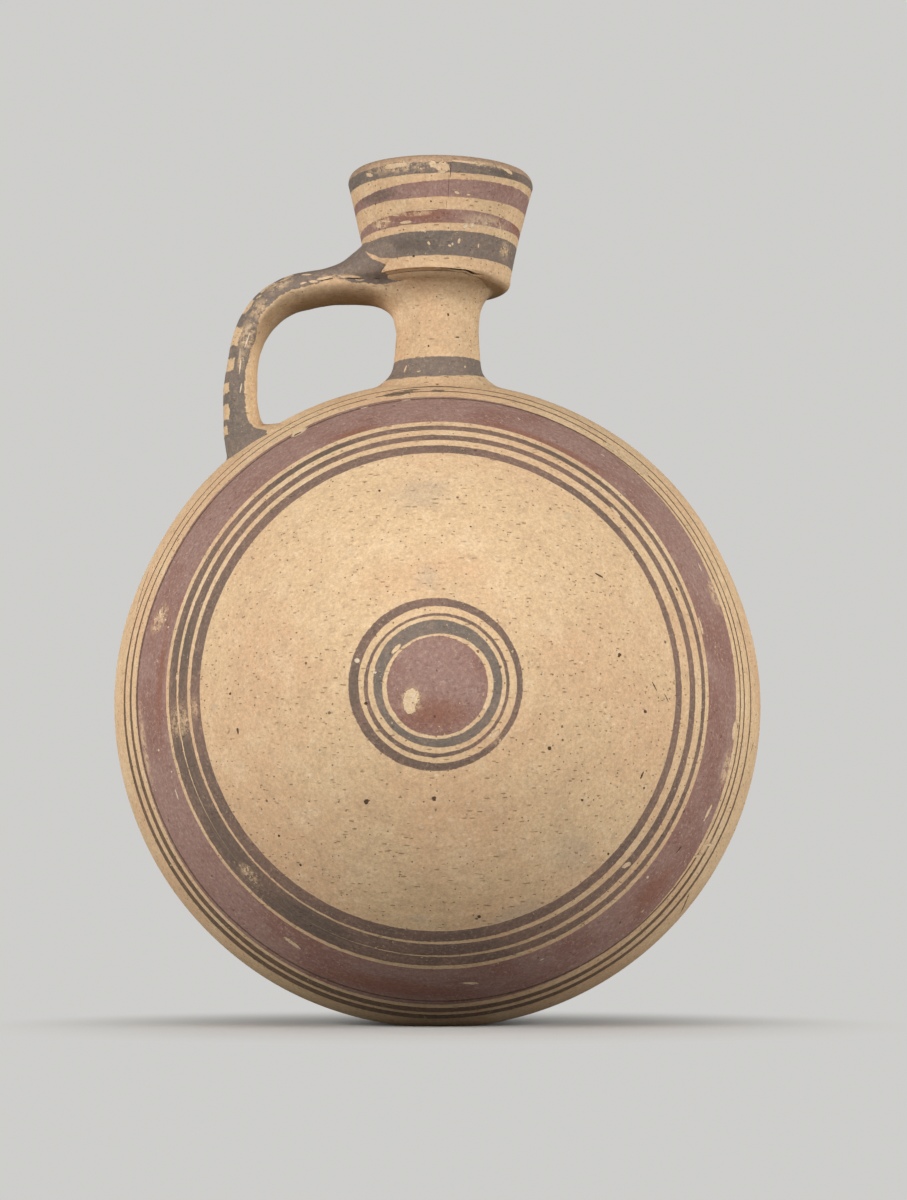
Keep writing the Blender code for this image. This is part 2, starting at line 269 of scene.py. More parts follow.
# Each paint when it lies plain, thick and thin, and how much of the clay it covers
paints = dict(
    red=dict(plain=(0.366, 0.222, 0.190), deep=(0.300, 0.158, 0.130), thin=(0.500, 0.350, 0.285), cover=0.985),
    brown=dict(plain=(0.246, 0.158, 0.126), deep=(0.182, 0.126, 0.104), thin=(0.410, 0.275, 0.200), cover=0.97),
    green=dict(plain=(0.234, 0.184, 0.157), deep=(0.188, 0.158, 0.137), thin=(0.345, 0.255, 0.190), cover=0.97),
    wash=dict(plain=(0.480, 0.310, 0.205), deep=(0.340, 0.225, 0.160), thin=(0.620, 0.430, 0.280), cover=0.85),
    line=dict(plain=(0.150, 0.092, 0.062), deep=(0.100, 0.066, 0.046), thin=(0.270, 0.175, 0.110), cover=0.93),
)
paintBlur = 0.13
# The paint wears off in flecks where a fine noise passes wearLevel, which is lower in clusters and in worn
# places
wearLevel, clusterDrop, wornDrop = 0.706, 0.062, 0.085


def clayMaterial(name, paintMasks, marks, frameAt, tint=1.0, paintTint=1.0, otherFrames=None):
    # buff clay with clouds, grain, pits and strokes; paint over it, mottled and worn in crisp flecks; then
    # the marks that are placed one by one
    material = newMaterial(name)
    place = make("Mapping", {"Vector": make("TexCoord", out="Object"), "Scale": (1 / mm, 1 / mm, 1 / mm)})
    noises = {key: noise(place, *values) for key, values in clay["noises"].items()}
    patch, mottle, fine, powder = (noises[key] for key in ("patch", "mottle", "fine", "powder"))
    grit = noise(slanted(place, clay["gritTurn"], clay["gritStretch"]), *clay["grit"])
    speckle = scaled(fine, 0.80, scaled(grit, 0.34, 0.43))

    frames = otherFrames or {}
    near = {kind: nearestSpot(place, spots, frames.get(kind, frameAt)) for kind, spots in marks.items()}
    ragged = scaled(fine, 1.3, scaled(mottle, 1.5, -1.4))
    soft = {kind: ramp(scaled(ragged, rough, near[kind]), start, full, 0.0, share)
            for kind, (rough, start, full, share) in clay["softMarks"].items() if kind in near}
    shapes = {kind: ramp(calc("ADD", value, ragged), 1.06, 0.90)
              for kind, value in near.items() if kind not in soft}

    # the bare clay
    colour = clay["buff"]
    for key, start, full, share, over in clay["tints"]:
        colour = blend(ramp(noises[key], start, full, 0.0, share), colour, clay[over])
    finePits, middlePits = specks(place, *clay["finePits"]), specks(place, *clay["middlePits"])
    strokes = together([specks(slanted(place, turn, clay["strokeStretch"]), size, clay["strokeRadius"], share)
                        for turn, size, share in clay["strokes"]])
    strokes = times(strokes, ramp(patch, 0.42, 0.58, 0.82, 0.45))
    pits = together((finePits, middlePits))
    glints = specks(slanted(place, clay["glintTurn"], clay["glintStretch"]), *clay["glints"])
    for share, over in ((strokes, "stroke"), (pits, "pit"), (glints, "crust"), (soft.get("stain"), "stain")):
        if share is not None:
            colour = blend(share, colour, clay[over])

    # where the paint is worn
    wobble = scaled(mottle, 1.1, scaled(fine, 0.7, -0.90))
    masks, brushPlace = paintMasks(place, wobble)
    brush = noise(brushPlace, 1.0, 3.0, 0.6)
    level = scaled(ramp(noises["wearWhere"], 0.46, 0.68, 0.10, 1.0), -clusterDrop, wearLevel)
    rubbed = 1.0
    if "worn" in soft:
        level = scaled(soft["worn"], -wornDrop, level)
        # in the worn places the paint is rubbed thin in patches
        rubbed = minus(ramp(noises["rubbed"], 0.40, 0.58, 1.0, 0.30), 1.0)
        rubbed = scaled(soft["worn"], rubbed, 1.0)
    scuff = ramp(minus(noises["scuff"], level), 0.0, 0.035)
    chips = ramp(minus(noises["chips"], level), 0.015, 0.035)
    wear = times(together((scuff, chips)), 0.85)
    if "bare" in shapes:
        wear = calc("MAXIMUM", wear, shapes["bare"])
    colour = blend(wear, colour, blend(0.25, colour, clay["crust"]))

    # the paint
    painted = None
    for kind, mask in masks.items():
        paint = paints[kind]
        tone = blend(ramp(noises["drift"], 0.42, 0.64), paint["plain"], paint["deep"])
        for value, start, full, share, over in (
                (powder, 0.50, 0.70, 0.85, "thin"), (powder, 0.47, 0.30, 0.75, "deep"),
                (brush, 0.56, 0.74, 0.34, "thin"), (brush, 0.42, 0.28, 0.40, "deep")):
            tone = blend(ramp(value, start, full, 0.0, share), tone, paint[over])
        if kind == "red" and "brick" in soft:
            tone = blend(soft["brick"], tone, clay["brick"])
        if kind != "line" and "soot" in soft:
            tone = blend(soft["soot"], tone, clay["soot"])
        cover = times(mask, ramp(brush, 0.22, 0.50, paint["cover"] - 0.14, paint["cover"]))
        cover = times(times(cover, rubbed), minus(1.0, wear))
        colour = blend(cover, colour, tone)
        painted = cover if painted is None else calc("MAXIMUM", painted, cover)
    colour = blend(times(times(middlePits, painted), 0.55), colour, clay["hole"])

    for kind, over, share in (("smear", "smear", 0.80), ("pale", "crust", 0.92), ("pit", "hole", 0.92)):
        if kind in shapes:
            colour = blend(times(shapes[kind], share), colour, clay[over])
    # painted shade darkens the recesses, as far as the piece's own attribute says
    paintedShade = make("SeparateXYZ", {0: make("Attribute", attribute_name="paintedShade", out="Vector")})
    tone = scaled(painted, tint * (paintTint - 1.0), tint)
    tone = times(tone, minus(speckle, times(speckle, paintedShade)))
    colour = make("VectorMath", {0: colour, "Scale": tone}, operation="SCALE")

    height = times(together((pits, times(strokes, 0.7), shapes.get("pit", pits))), clay["pitRise"])
    for value, rise in ((fine, "fineRise"), (mottle, "mottleRise"), (grit, "gritRise"), (painted, "paintRise"),
                        (shapes.get("bare"), "bareRise"), (shapes.get("pale"), "paleRise")):
        if value is not None:
            height = scaled(value, clay[rise], height)
    normal = make("Bump", {"Height": height, "Distance": mm, "Strength": 1.0}, out="Normal")
    shine = scaled(painted, clay["paintRoughness"] - clay["roughness"], clay["roughness"])
    shader = make("BsdfPrincipled", {"Base Color": colour, "Roughness": shine, "Normal": normal,
                                     "Specular IOR Level": clay["specular"]})
    make("OutputMaterial", {"Surface": shader})
    return material


# Mesh helpers

def gridQuads(rows, columns, rowsClosed=False):
    # the four corners of each cell of a grid whose columns close on themselves
    row = np.arange(rows if rowsClosed else rows - 1)[:, None]
    column = np.arange(columns)[None, :]
    nextRow, nextColumn = (row + 1) % rows, (column + 1) % columns
    corners = (row * columns + column, row * columns + nextColumn, nextRow * columns + nextColumn,
               nextRow * columns + column)
    return np.stack(np.broadcast_arrays(*corners), -1).reshape(-1, 4)


def capped(grid, poles):
    # a grid's points with two pole points, and the faces of its cells and of the fans that close its two ends
    rows, columns = grid.shape[:2]
    first = np.arange(columns)
    following = (first + 1) % columns
    last = (rows - 1) * columns
    capStart = np.stack((np.full(columns, rows * columns), following, first), -1)
    capEnd = np.stack((np.full(columns, rows * columns + 1), last + first, last + following), -1)
    return np.concatenate((grid.reshape(-1, 3), poles)), [gridQuads(rows, columns), capStart, capEnd]


def signedVolume(points, faces):
    # a sixth of the sum of each triangle's triple product; below zero where the faces point inwards
    a, b, c = (points[faces[:, i]] for i in range(3))
    total = np.einsum("ij,ij->i", a, np.cross(b, c)).sum()
    if faces.shape[1] == 4:
        d = points[faces[:, 3]]
        total += np.einsum("ij,ij->i", a, np.cross(c, d)).sum()
    return total / 6


def makePiece(name, points, faceSets, material, node, attributes):
    # points in millimetres, faces as index arrays that all turn the same way; they are turned to point
    # outwards
    if sum(signedVolume(points, faces) for faces in faceSets) < 0:
        faceSets = [faces[:, ::-1] for faces in faceSets]
    mesh = bpy.data.meshes.new(name)
    mesh.from_pydata(points * mm, [], [face for faces in faceSets for face in faces.tolist()])
    for label, values in attributes.items():
        layer = mesh.attributes.new(label, "FLOAT_VECTOR", "POINT")
        layer.data.foreach_set("vector", np.ascontiguousarray(values, np.float32).ravel())
    mesh.update()
    mesh.shade_smooth()
    mesh.set_sharp_from_angle(angle=math.radians(sharpAngle))
    mesh.materials.append(material)
    made = addObject(name, mesh)
    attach(made, "root")
    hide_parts(node)
    print(name, "made with", sum(len(faces) * (faces.shape[1] - 2) for faces in faceSets), "triangles")


def asPaintedShade(share):
    # one share per point, as the first of the attribute's three numbers
    share = np.asarray(share, float).reshape(-1)
    return np.column_stack((share, np.zeros((len(share), 2))))


def running(steps):
    # the way along a line, from the lengths of its steps
    return np.concatenate(((0.0,), np.cumsum(steps)))


def smoothShare(value, low, high):
    share = np.clip((value - low) / (high - low), 0.0, 1.0)
    return share * share * (3 - 2 * share)


def lumps(points, size):
    # gentle hand-made unevenness, -1 to 1: three products of sine waves in turned directions, size apart
    x, y, z = np.moveaxis(points / size * 2 * math.pi, -1, 0)
    return (np.sin(0.9 * x + 0.4 * y + 1.1) * np.sin(0.8 * z - 0.3 * x)
            + np.sin(0.7 * y + 0.6 * z + 2.0) * np.sin(0.9 * x - 0.5 * y + 0.6)
            + np.sin(1.1 * z + 0.5 * x + 4.0) * np.sin(0.6 * y + 0.3)) / 3


def smoothPath(rows, steps):
    # a Catmull-Rom curve through every row of values, sampled evenly in its parameter
    rows = np.asarray(rows, float)
    padded = np.concatenate((2 * rows[:1] - rows[1:2], rows, 2 * rows[-1:] - rows[-2:-1]))
    place = np.linspace(0.0, len(rows) - 1, steps)
    start = np.minimum(place.astype(int), len(rows) - 2)
    t = (place - start)[:, None]
    a, b, c, d = (padded[start + i] for i in range(4))
    return ((2 * b) + (c - a) * t + (2 * a - 5 * b + 4 * c - d) * t ** 2 + (3 * b - a - 3 * c + d) * t ** 3) / 2


def skinFrame(pointAt, first, second):
    # a point of a skin and its two unit directions there, by small steps of the skin's two parameters
    point = pointAt(first, second)
    forward = pointAt(first + frameStep, second) - point
    forward /= np.linalg.norm(forward)
    across = pointAt(first, second + frameStep) - point
    across -= forward * across.dot(forward)
    return point, forward, across / np.linalg.norm(across)


# The barrel

barrel = dict(
    radius=115.0, halfLength=105.7, wall=6.5, centreHeight=114.0, endShare=0.56, sideShare=1.6, bellyRound=0.15,
    columns=480, rows=186, insideRows=9, holeRadius=12.0, holeReach=26.0, thinRow=0.06, poleSunk=0.3,
    poleGap=2.0, waveHeight=0.035, lumpHeight=0.12, dentReach=42.0,
    # each dent of the belly: where round the barrel in degrees, how deep, how wide in degrees
    dents=((23.0, 0.97, 13.0), (152.0, 0.75, 13.0)),
)

# Where each painted ring starts and ends, as millimetres over the clay from the end's middle. The five
# numbers are a mean, then how far the brush wandered once (cosine, sine) and twice (cosine, sine) round the
# barrel.
barrelRings = dict(
    disc=(None, (16.6, -0.1, -0.5, 0.1, 0.1), "red"),
    grey=((17.9, 0.1, -0.6, 0.5, 0.3), (21.3, 0.0, 0.4, 0.1, -0.1), "green"),
    hair=((22.9, -0.2, 0.1, 0.1, 0.0), (24.1, -0.3, -0.1, 0.1, 0.2), "brown"),
    ring=((26.3, 0.0, 0.2, 0.1, -0.1), (29.1, -0.7, 0.3, 0.1, 0.0), "brown"),
    inner=((91.2, 0.1, 0.4, -0.4, 0.0), (95.6, -0.8, 0.0, -0.8, -0.1), "brown"),
    middle=((98.2, 0.5, 0.9, -0.4, -0.2), (102.4, -0.4, -0.4, -0.6, 0.1), "brown"),
    outer=((104.6, 0.9, 0.8, -0.4, -0.4), (108.2, -0.3, -0.1, -0.7, 0.1), "brown"),
    broad=((110.3, -0.1, 0.3, -0.9, -0.1), (131.6, -1.1, -0.8, -1.8, 0.0), "red"),
    lineThree=((130.6, 1.2, -0.5, 0.0, 0.0), (131.7, 1.2, -0.5, 0.0, 0.0), "line"),
    lineTwo=((136.4, 0.3, 0.6, -1.2, -0.4), (138.4, -0.1, -0.8, -1.7, 0.0), "line"),
    lineOne=((142.8, 0.5, 0.5, -1.0, -0.2), (144.9, 0.1, -1.0, -1.5, 0.3), "line"),
)

# Marks of use, each as distance over the clay from the end's middle, degrees round from the handle's far
# side, length, width, and tilt in degrees from the outward direction
barrelMarks = dict(
    bare=(
        (130.9, 117.6, 5, 6.4, 0), (99.4, 45.2, 4.4, 1.9, 80), (103.3, 176.4, 2.8, 1.4, 90),
        (9.4, 206, 6, 5, 40), (11.6, 216, 6.6, 3.4, 70), (18.1, 139, 4.2, 1.5, 85),
        (124.8, 336.9, 6.8, 1.7, 82), (128.4, 353.6, 7, 2.4, 85), (110.4, 14.5, 6.2, 1.3, 90),
        (118.8, 239.5, 6.4, 2.2, 80), (120.4, 276.2, 6.4, 1.5, 77), (100.1, 317.7, 3.4, 2, 60),
        (137.3, 52, 2.6, 19, 0), (139.2, 102.5, 2.6, 4.2, 0), (25.2, 319, 3.6, 1.6, 80),
        (132.6, 328.5, 4.6, 1, 20), (136.5, 331.5, 5, 1, 15),
    ),
    pale=(
        (28.1, 163, 1.8, 1.5, 0), (21.2, 169.1, 1.7, 1.3, 0), (114.2, 201.3, 4.2, 0.8, 85),
        (112.8, 196.3, 1, 0.7, 0), (130.6, 96, 3, 0.8, 88), (130.2, 104.2, 3.3, 0.8, 92),
        (125.1, 26.2, 3.8, 0.8, 85), (122.5, 163.2, 1.3, 0.9, 60), (124.6, 164.8, 1.2, 0.9, 60),
        (117.1, 164.6, 1, 0.8, 0), (113.7, 166, 1, 0.7, 0), (117.6, 191.3, 1.2, 0.8, 0),
        (8.6, 205, 1.7, 1.1, 30), (122.4, 73.7, 1.7, 0.6, 40), (125.2, 55.6, 1.6, 0.6, 90),
        (113.4, 318.9, 1.3, 1, 0), (117, 291.4, 1.6, 0.7, 90), (24.4, 316, 1.6, 0.8, 70),
        (84.8, 310.5, 2, 0.8, 40),
    ),
    pit=(
        (46.6, 238.4, 1.7, 1.3, 0), (38.3, 268.3, 1.9, 1.6, 0), (79.7, 222.7, 1.1, 0.9, 0),
        (82.7, 232, 1.2, 1, 0), (76.2, 181.2, 1.1, 0.9, 0), (74.7, 191.9, 2.2, 0.7, 90),
        (43.7, 330.8, 1.2, 1, 0), (65.2, 322.2, 1.1, 0.9, 0), (76.7, 353.9, 1.2, 0.9, 0),
        (82.5, 337.4, 3, 0.8, 84), (85.8, 334.7, 1.1, 0.9, 0), (89.4, 316.3, 1.1, 0.9, 0),
        (86.3, 280.4, 1.2, 0.9, 0), (76.5, 106.3, 1, 0.8, 0), (66.3, 10.5, 1.9, 1.4, 30),
        (80.6, 1, 3.4, 0.45, -53), (86.5, 358, 3.6, 0.4, -50), (72, 35.3, 2.6, 0.6, -55),
        (103.8, 23.5, 1.3, 0.8, 90), (129.8, 118, 2.3, 1.1, 90), (150.5, 320.6, 11, 0.8, -40),
        (148.9, 351.3, 5, 0.6, 60), (118.9, 327.4, 3, 0.5, 80), (58.2, 78.5, 1, 0.8, 0),
        (24.6, 194.5, 1.1, 0.9, 0), (131, 354.5, 2.4, 0.8, 80),
    ),
    smear=(
        (138.6, 97.4, 11, 5.4, 90), (139.2, 90, 5, 3.4, 90), (142, 95, 6, 2, 90), (147.8, 160, 20, 1, -70),
    ),
    stain=(
        (36.8, 95.6, 12, 11, 0), (81.5, 53.2, 5, 4.4, 0), (85.6, 265.2, 9, 5, 90), (78.2, 309.4, 26, 20, 0),
        (83.8, 184.3, 5, 3.6, 0), (68.9, 4.7, 2.6, 2, 0), (70.9, 171.9, 5, 1.2, 40),
        (64.7, 169.9, 4.2, 1.4, 35), (54.5, 140.5, 5, 2, 20), (46.9, 140.5, 4, 1.2, 60),
        (72, 95, 20, 26, 0), (90, 290, 14, 30, 0),
    ),
    worn=(
        (102, 186.5, 14, 15, 90), (93.5, 184, 9, 5, 90), (121.5, 164.5, 14, 10, 60),
        (127.5, 189, 36, 5, 90), (134, 331, 12, 8, 90), (127, 346, 16, 7, 90), (127, 20, 14, 8, 90),
        (10, 212, 11, 9, 60), (103, 224, 12, 7, 90), (26.5, 318, 7, 6, 90),
    ),
    soot=(
        (102, 172, 13, 40, 0), (102, 193, 15, 44, 0), (102, 216, 15, 46, 0), (103, 240, 15, 44, 0),
        (106, 118, 8, 50, 0), (28, 180, 5, 22, 0), (107, 60, 5, 60, 0),
    ),
    brick=(
        (9.5, 268, 13, 28, 0), (112.4, 66, 5, 90, 0), (113, 108, 6, 22, 0), (124, 262, 14, 60, 0),
        (122, 318, 16, 26, 0), (113.5, 176, 5, 50, 0),
    ),
)


def radiusShare(alongShare):
    # (1 - g) to the power endShare, where g rises from the belly to the pole as a rounded power of the
    # distance
    low = barrel["bellyRound"] ** barrel["sideShare"]
    full = (1 + barrel["bellyRound"] ** 2) ** (barrel["sideShare"] / 2)
    reached = (alongShare ** 2 + barrel["bellyRound"] ** 2) ** (barrel["sideShare"] / 2)
    return np.maximum(1 - (reached - low) / (full - low), 0.0) ** barrel["endShare"]


def barrelProfile():
    # distance over the clay from the pole, radius and place along the axis, finely stepped from pole to belly
    turn = np.linspace(0.0, math.pi / 2, 6001)
    along = barrel["halfLength"] * np.cos(turn)
    radius = barrel["radius"] * radiusShare(np.cos(turn))
    arc = running(np.hypot(np.diff(along), np.diff(radius)))
    return arc, radius, along


profileArc, profileRadius, profileAlong = barrelProfile()
profileLength = profileArc[-1]
profileSlope = np.gradient(profileRadius), np.gradient(profileAlong)
profileTop = barrel["centreHeight"] + barrel["radius"]


def surfaceHeight(x, y):
    # height over the floor of the barrel's upper surface at a place
    radius = barrel["radius"] * radiusShare(np.clip(np.abs(y) / barrel["halfLength"], 0.0, 1.0))
    return barrel["centreHeight"] + np.sqrt(np.maximum(radius ** 2 - x ** 2, 0.0))


def barrelPoint(arc, turn, side, sunk=0.0):
    # a point of the barrel's skin at a distance from the pole and a turn round the axis, sunk along the
    # normal
    radius, along = np.interp(arc, profileArc, profileRadius), np.interp(arc, profileArc, profileAlong)
    outR, outY = -np.interp(arc, profileArc, profileSlope[1]), np.interp(arc, profileArc, profileSlope[0])
    length = np.hypot(outR, outY)
    radius = radius - sunk * outR / length
    along = along - sunk * outY / length
    return np.stack((radius * np.cos(turn), side * along, barrel["centreHeight"] + radius * np.sin(turn)), -1)


def barrelSpot(arc, degrees):
    # the frame of a mark on the front end; a distance past the belly goes on over the back half
    def pointAt(first, second):
        side = -1 if first <= profileLength else 1
        return barrelPoint(min(first, 2 * profileLength - first), math.radians(second), side)
    return skinFrame(pointAt, arc, degrees)


def barrelSunk(arc, turn, side):
    # how far the hand-made skin lies under the true form: throwing waves, lumps and the two dents of the
    # belly
    true = barrelPoint(arc, turn, side)
    wave = np.sin(arc * 0.83 + 0.7 * np.sin(turn + 0.4)) + 0.6 * np.sin(arc * 1.71 + 1.3 + np.cos(turn * 2))
    sunk = barrel["waveHeight"] * (1 - wave / 1.6) * smoothShare(arc, 0.0, 12.0)
    sunk = sunk + barrel["lumpHeight"] * (1 - lumps(true, 70.0))
    fade = np.exp(-(true[..., 1] / barrel["dentReach"]) ** 2)
    for middle, deep, wide in barrel["dents"]:
        sunk = sunk + deep * fade * np.exp(-((np.degrees(turn) - middle) / wide) ** 2)
    return sunk


def nearBelly(rows):
    # 1 at the belly, falling to 0 at holeReach from it
    return smoothShare(rows, profileLength - barrel["holeReach"], profileLength)[:, None]


def barrelHalf(name, node, side, material):
    # a grid over the skin, rows from the pole to the belly, then back inside the wall; the skin stops at the
    # rim of the hole under the neck, and the cells between the two skins close the rim
    turn = np.linspace(0.0, 2 * math.pi, barrel["columns"], endpoint=False)
    step = profileLength / barrel["rows"]
    rows = np.append(np.arange(1, barrel["rows"]) * step, (profileLength - barrel["thinRow"], profileLength))
    x = barrel["radius"] * np.cos(turn) - neck["offset"]
    chord = np.where(np.sin(turn) > 0, np.sqrt(np.maximum(barrel["holeRadius"] ** 2 - x ** 2, 0.0)), 0.0)
    outer = rows[:, None] - chord * nearBelly(rows)
    turns = np.broadcast_to(turn, outer.shape)
    skin = barrelPoint(outer, turns, side, barrelSunk(outer, turns, side))
    insideRows = np.linspace(profileLength, barrel["poleGap"], barrel["insideRows"])
    inner = insideRows[:, None] - chord * nearBelly(insideRows)
    inside = barrelPoint(inner, turn, side, np.full(inner.shape, barrel["wall"]))
    grid = np.concatenate((skin, inside))
    grid[:, :, 2] = np.maximum(grid[:, :, 2], 0.0)
    poles = [barrelPoint(0.0, 0.0, side, sunk) for sunk in (barrel["poleSunk"], barrel["wall"])]
    points, faces = capped(grid, poles)
    arcs = np.concatenate((outer, inner))
    place = np.stack(np.broadcast_arrays(arcs, -side * np.cos(turn), np.sin(turn)), -1)
    place = np.concatenate((place.reshape(-1, 3), np.zeros((2, 3))))
    makePiece(name, points, faces, material, node, {"paintPlace": place})


def barrelPaint(place, wobble):
    arc, wander, vector = readPlace("paintPlace")
    fine = scaled(noise(place, 1.1, 2.0, 0.6), 0.34, -0.17)
    arc = calc("ADD", scaled(wobble, 0.5, arc), fine)
    return ringMasks(barrelRings.values(), arc, wander), brushed(vector, 1.5, 7.0)


# The neck

neck = dict(
    height=33.2, waistHeight=18.7, boreRadius=9.5, waistRadius=14.8, shoulderRadius=15.9, footRadius=20.5,
    collarRadius=19.5, footEdge=0.7, drape=13.0, offset=-0.3, leanBack=2.5, leanRight=1.0,
    footFlare=9.0, collarFlare=3.7, featherRadius=27.0, featherSink=0.2, featherFall=3.3, columns=288,
    # the first two numbers on the next line give the painted shade on the collar under the ledge: where it starts
    # and how dark it gets
    shadeFrom=23.0, shadeDeep=0.34, swellHigh=0.16, swellSize=21.0, swellFrom=(1.0, 8.0),
)
neckBand = ((1.7, 0.2, 0.5, 0.0, 0.0), (7.2, 0.0, 0.5, 0.0, 0.0), "green")
# The smears lie on the barrel's thin lines in front of the foot, and are placed as the barrel's marks are
neckMarks = dict(
    smear=(
        (138.6, 97.4, 11, 5.4, 90), (137.8, 95, 6, 4, 90), (142, 95, 6, 2, 90), (139.2, 90, 5, 3.4, 90),
    ),
    bare=(
        (4.5, 38, 1.4, 0.8, 30), (3, -22, 1.3, 0.6, 80),
    ),
    pit=(
        (10.5, -12, 0.9, 0.8, 0), (22, 14, 1, 0.8, 0), (14, 28, 1.6, 0.5, 80),
    ),
    stain=(
        (26, -48, 16, 12, 0),
    ),
)


def leanMatrix():
    back, right = math.radians(-neck["leanBack"]), math.radians(neck["leanRight"])
    aboutX = np.array(((1, 0, 0), (0, math.cos(back), -math.sin(back)),
                       (0, math.sin(back), math.cos(back))))
    aboutY = np.array(((math.cos(right), 0, math.sin(right)), (0, 1, 0),
                       (-math.sin(right), 0, math.cos(right))))
    return aboutY @ aboutX


def leaned(points):
    # points about the neck's own axis, leaned back and to the right about the foot of that axis
    return points @ leanMatrix().T + (neck["offset"], 0.0, profileTop)


def neckFrame(points):
    # the other way round: points of the world in the neck's own frame
    return (points - (neck["offset"], 0.0, profileTop)) @ leanMatrix()


def roundAxis(radius, turn, height):
    # a point in the neck's own frame; the turn starts at the front and runs to the right
    return np.stack(np.broadcast_arrays(radius * np.sin(turn), -radius * np.cos(turn), height), -1)


def swollen(points, swell, turn):
    # points pushed out from the neck's axis
    points[..., 0] += swell * np.sin(turn)
    points[..., 1] -= swell * np.cos(turn)


def turned(profile, columns):
    # a profile of radii and heights turned about the axis
    turn = np.linspace(0.0, 2 * math.pi, columns, endpoint=False)
    points = roundAxis(profile[:, 0, None], turn, profile[:, 1, None])
    return points, np.broadcast_to(turn, points.shape[:2])


def neckRadius(height):
    # from the foot up: the shoulder's flare, the waist, then the collar's flare
    waist, high = neck["waistHeight"], neck["height"]
    fallen = np.clip((waist - height) / (waist - neck["footEdge"]), 0.0, 1.0)
    foot = neck["waistRadius"] + (neck["shoulderRadius"] - neck["waistRadius"]) * fallen
    foot = foot + (neck["footRadius"] - neck["shoulderRadius"]) * fallen ** neck["footFlare"]
    risen = np.clip((height - waist) / (high - waist), 0.0, 1.0)
    return foot + (neck["collarRadius"] - neck["waistRadius"]) * risen ** neck["collarFlare"]


def neckProfile():
    # down the outside from the collar, out over the foot's thin feathered skirt, back under it, up the bore
    high = neck["height"]
    down = np.concatenate((np.linspace(high, neck["waistHeight"], 26),
                           np.linspace(neck["waistHeight"], neck["footEdge"], 44)[1:]))
    side = np.column_stack((neckRadius(down), down))
    skirt = np.linspace(neck["footRadius"], neck["featherRadius"], 22)[1:]
    spread = (skirt - neck["footRadius"]) / (neck["featherRadius"] - neck["footRadius"])
    fall = (neck["footEdge"] + neck["featherSink"]) * (1 - spread) ** neck["featherFall"]
    skirtHeight = fall - neck["featherSink"]
    under = ((24.0, -1.0), (17.0, -2.4), (11.5, -5.5), (neck["boreRadius"], -8.2))
    bore = [(neck["boreRadius"], height) for height in np.linspace(-4.0, high + 2.6, 14)]
    brim = ((15.0, high + 2.7), (20.5, high + 2.7), (23.6, high + 2.4), (22.9, high + 1.6), (21.3, high + 0.8))
    return np.concatenate((side, np.column_stack((skirt, skirtHeight)), under, bore, brim))


def seatedOnBarrel(points):
    # the foot's heights are measured from the barrel's double curve, and higher up the lean takes over
    upright = points + (neck["offset"], 0.0, profileTop)
    seated = np.clip((neck["drape"] - points[..., 2]) / (neck["drape"] - 0.3), 0.0, 1.0)[..., None] ** 2
    placed = seated * upright + (1 - seated) * leaned(points)
    placed[..., 2] += seated[..., 0] * (surfaceHeight(placed[..., 0], placed[..., 1]) - profileTop)
    return placed


def neckSpot(height, degrees):
    def pointAt(first, second):
        return seatedOnBarrel(roundAxis(neckRadius(first), math.radians(second), first))
    return skinFrame(pointAt, height, degrees)


def makeNeck(material):
    points, turn = turned(neckProfile(), neck["columns"])
    height = points[..., 2]
    placed = seatedOnBarrel(points)
    swell = neck["swellHigh"] * lumps(placed, neck["swellSize"]) * smoothShare(height, *neck["swellFrom"])
    swollen(placed, swell, turn)
    neckPlace = np.stack((height, np.cos(turn), np.sin(turn)), -1)
    # the barrel's own place under each point, for the lines that run on over the skirt
    x, y = placed[..., 0], placed[..., 1]
    below = np.interp(-np.abs(y), -profileAlong, profileArc)
    around = np.arctan2(surfaceHeight(x, y) - barrel["centreHeight"], x)
    ringPlace = np.stack((below, np.where(y < 0, 1.0, -1.0) * np.cos(around), np.sin(around)), -1)
    # painted shade on the collar, darkening it up towards the mouth's ledge
    paintedShadeLevel = neck["shadeDeep"] * smoothShare(height, neck["shadeFrom"], neck["height"])
    makePiece("neckTube", placed.reshape(-1, 3), [gridQuads(*turn.shape, rowsClosed=True)], material,
              "neck",
              {"paintPlace": ringPlace, "neckPlace": neckPlace, "paintedShade": asPaintedShade(paintedShadeLevel)})


def neckPaint(place, wobble):
    arc, wander, _ = readPlace("paintPlace")
    height, neckWander, neckVector = readPlace("neckPlace")
    # the barrel's outer lines run on over the foot's skirt, up to a low height
    lines = ringMasks((barrelRings["lineTwo"], barrelRings["lineOne"]), scaled(wobble, 0.5, arc), wander)
    lines["line"] = times(lines["line"], ramp(height, 0.9, 1.9, 1.0, 0.0))
    band = ringMasks((neckBand,), scaled(wobble, 0.7, height), neckWander)
    return lines | band, brushed(neckVector, 1.5, 4.0)


# The mouth

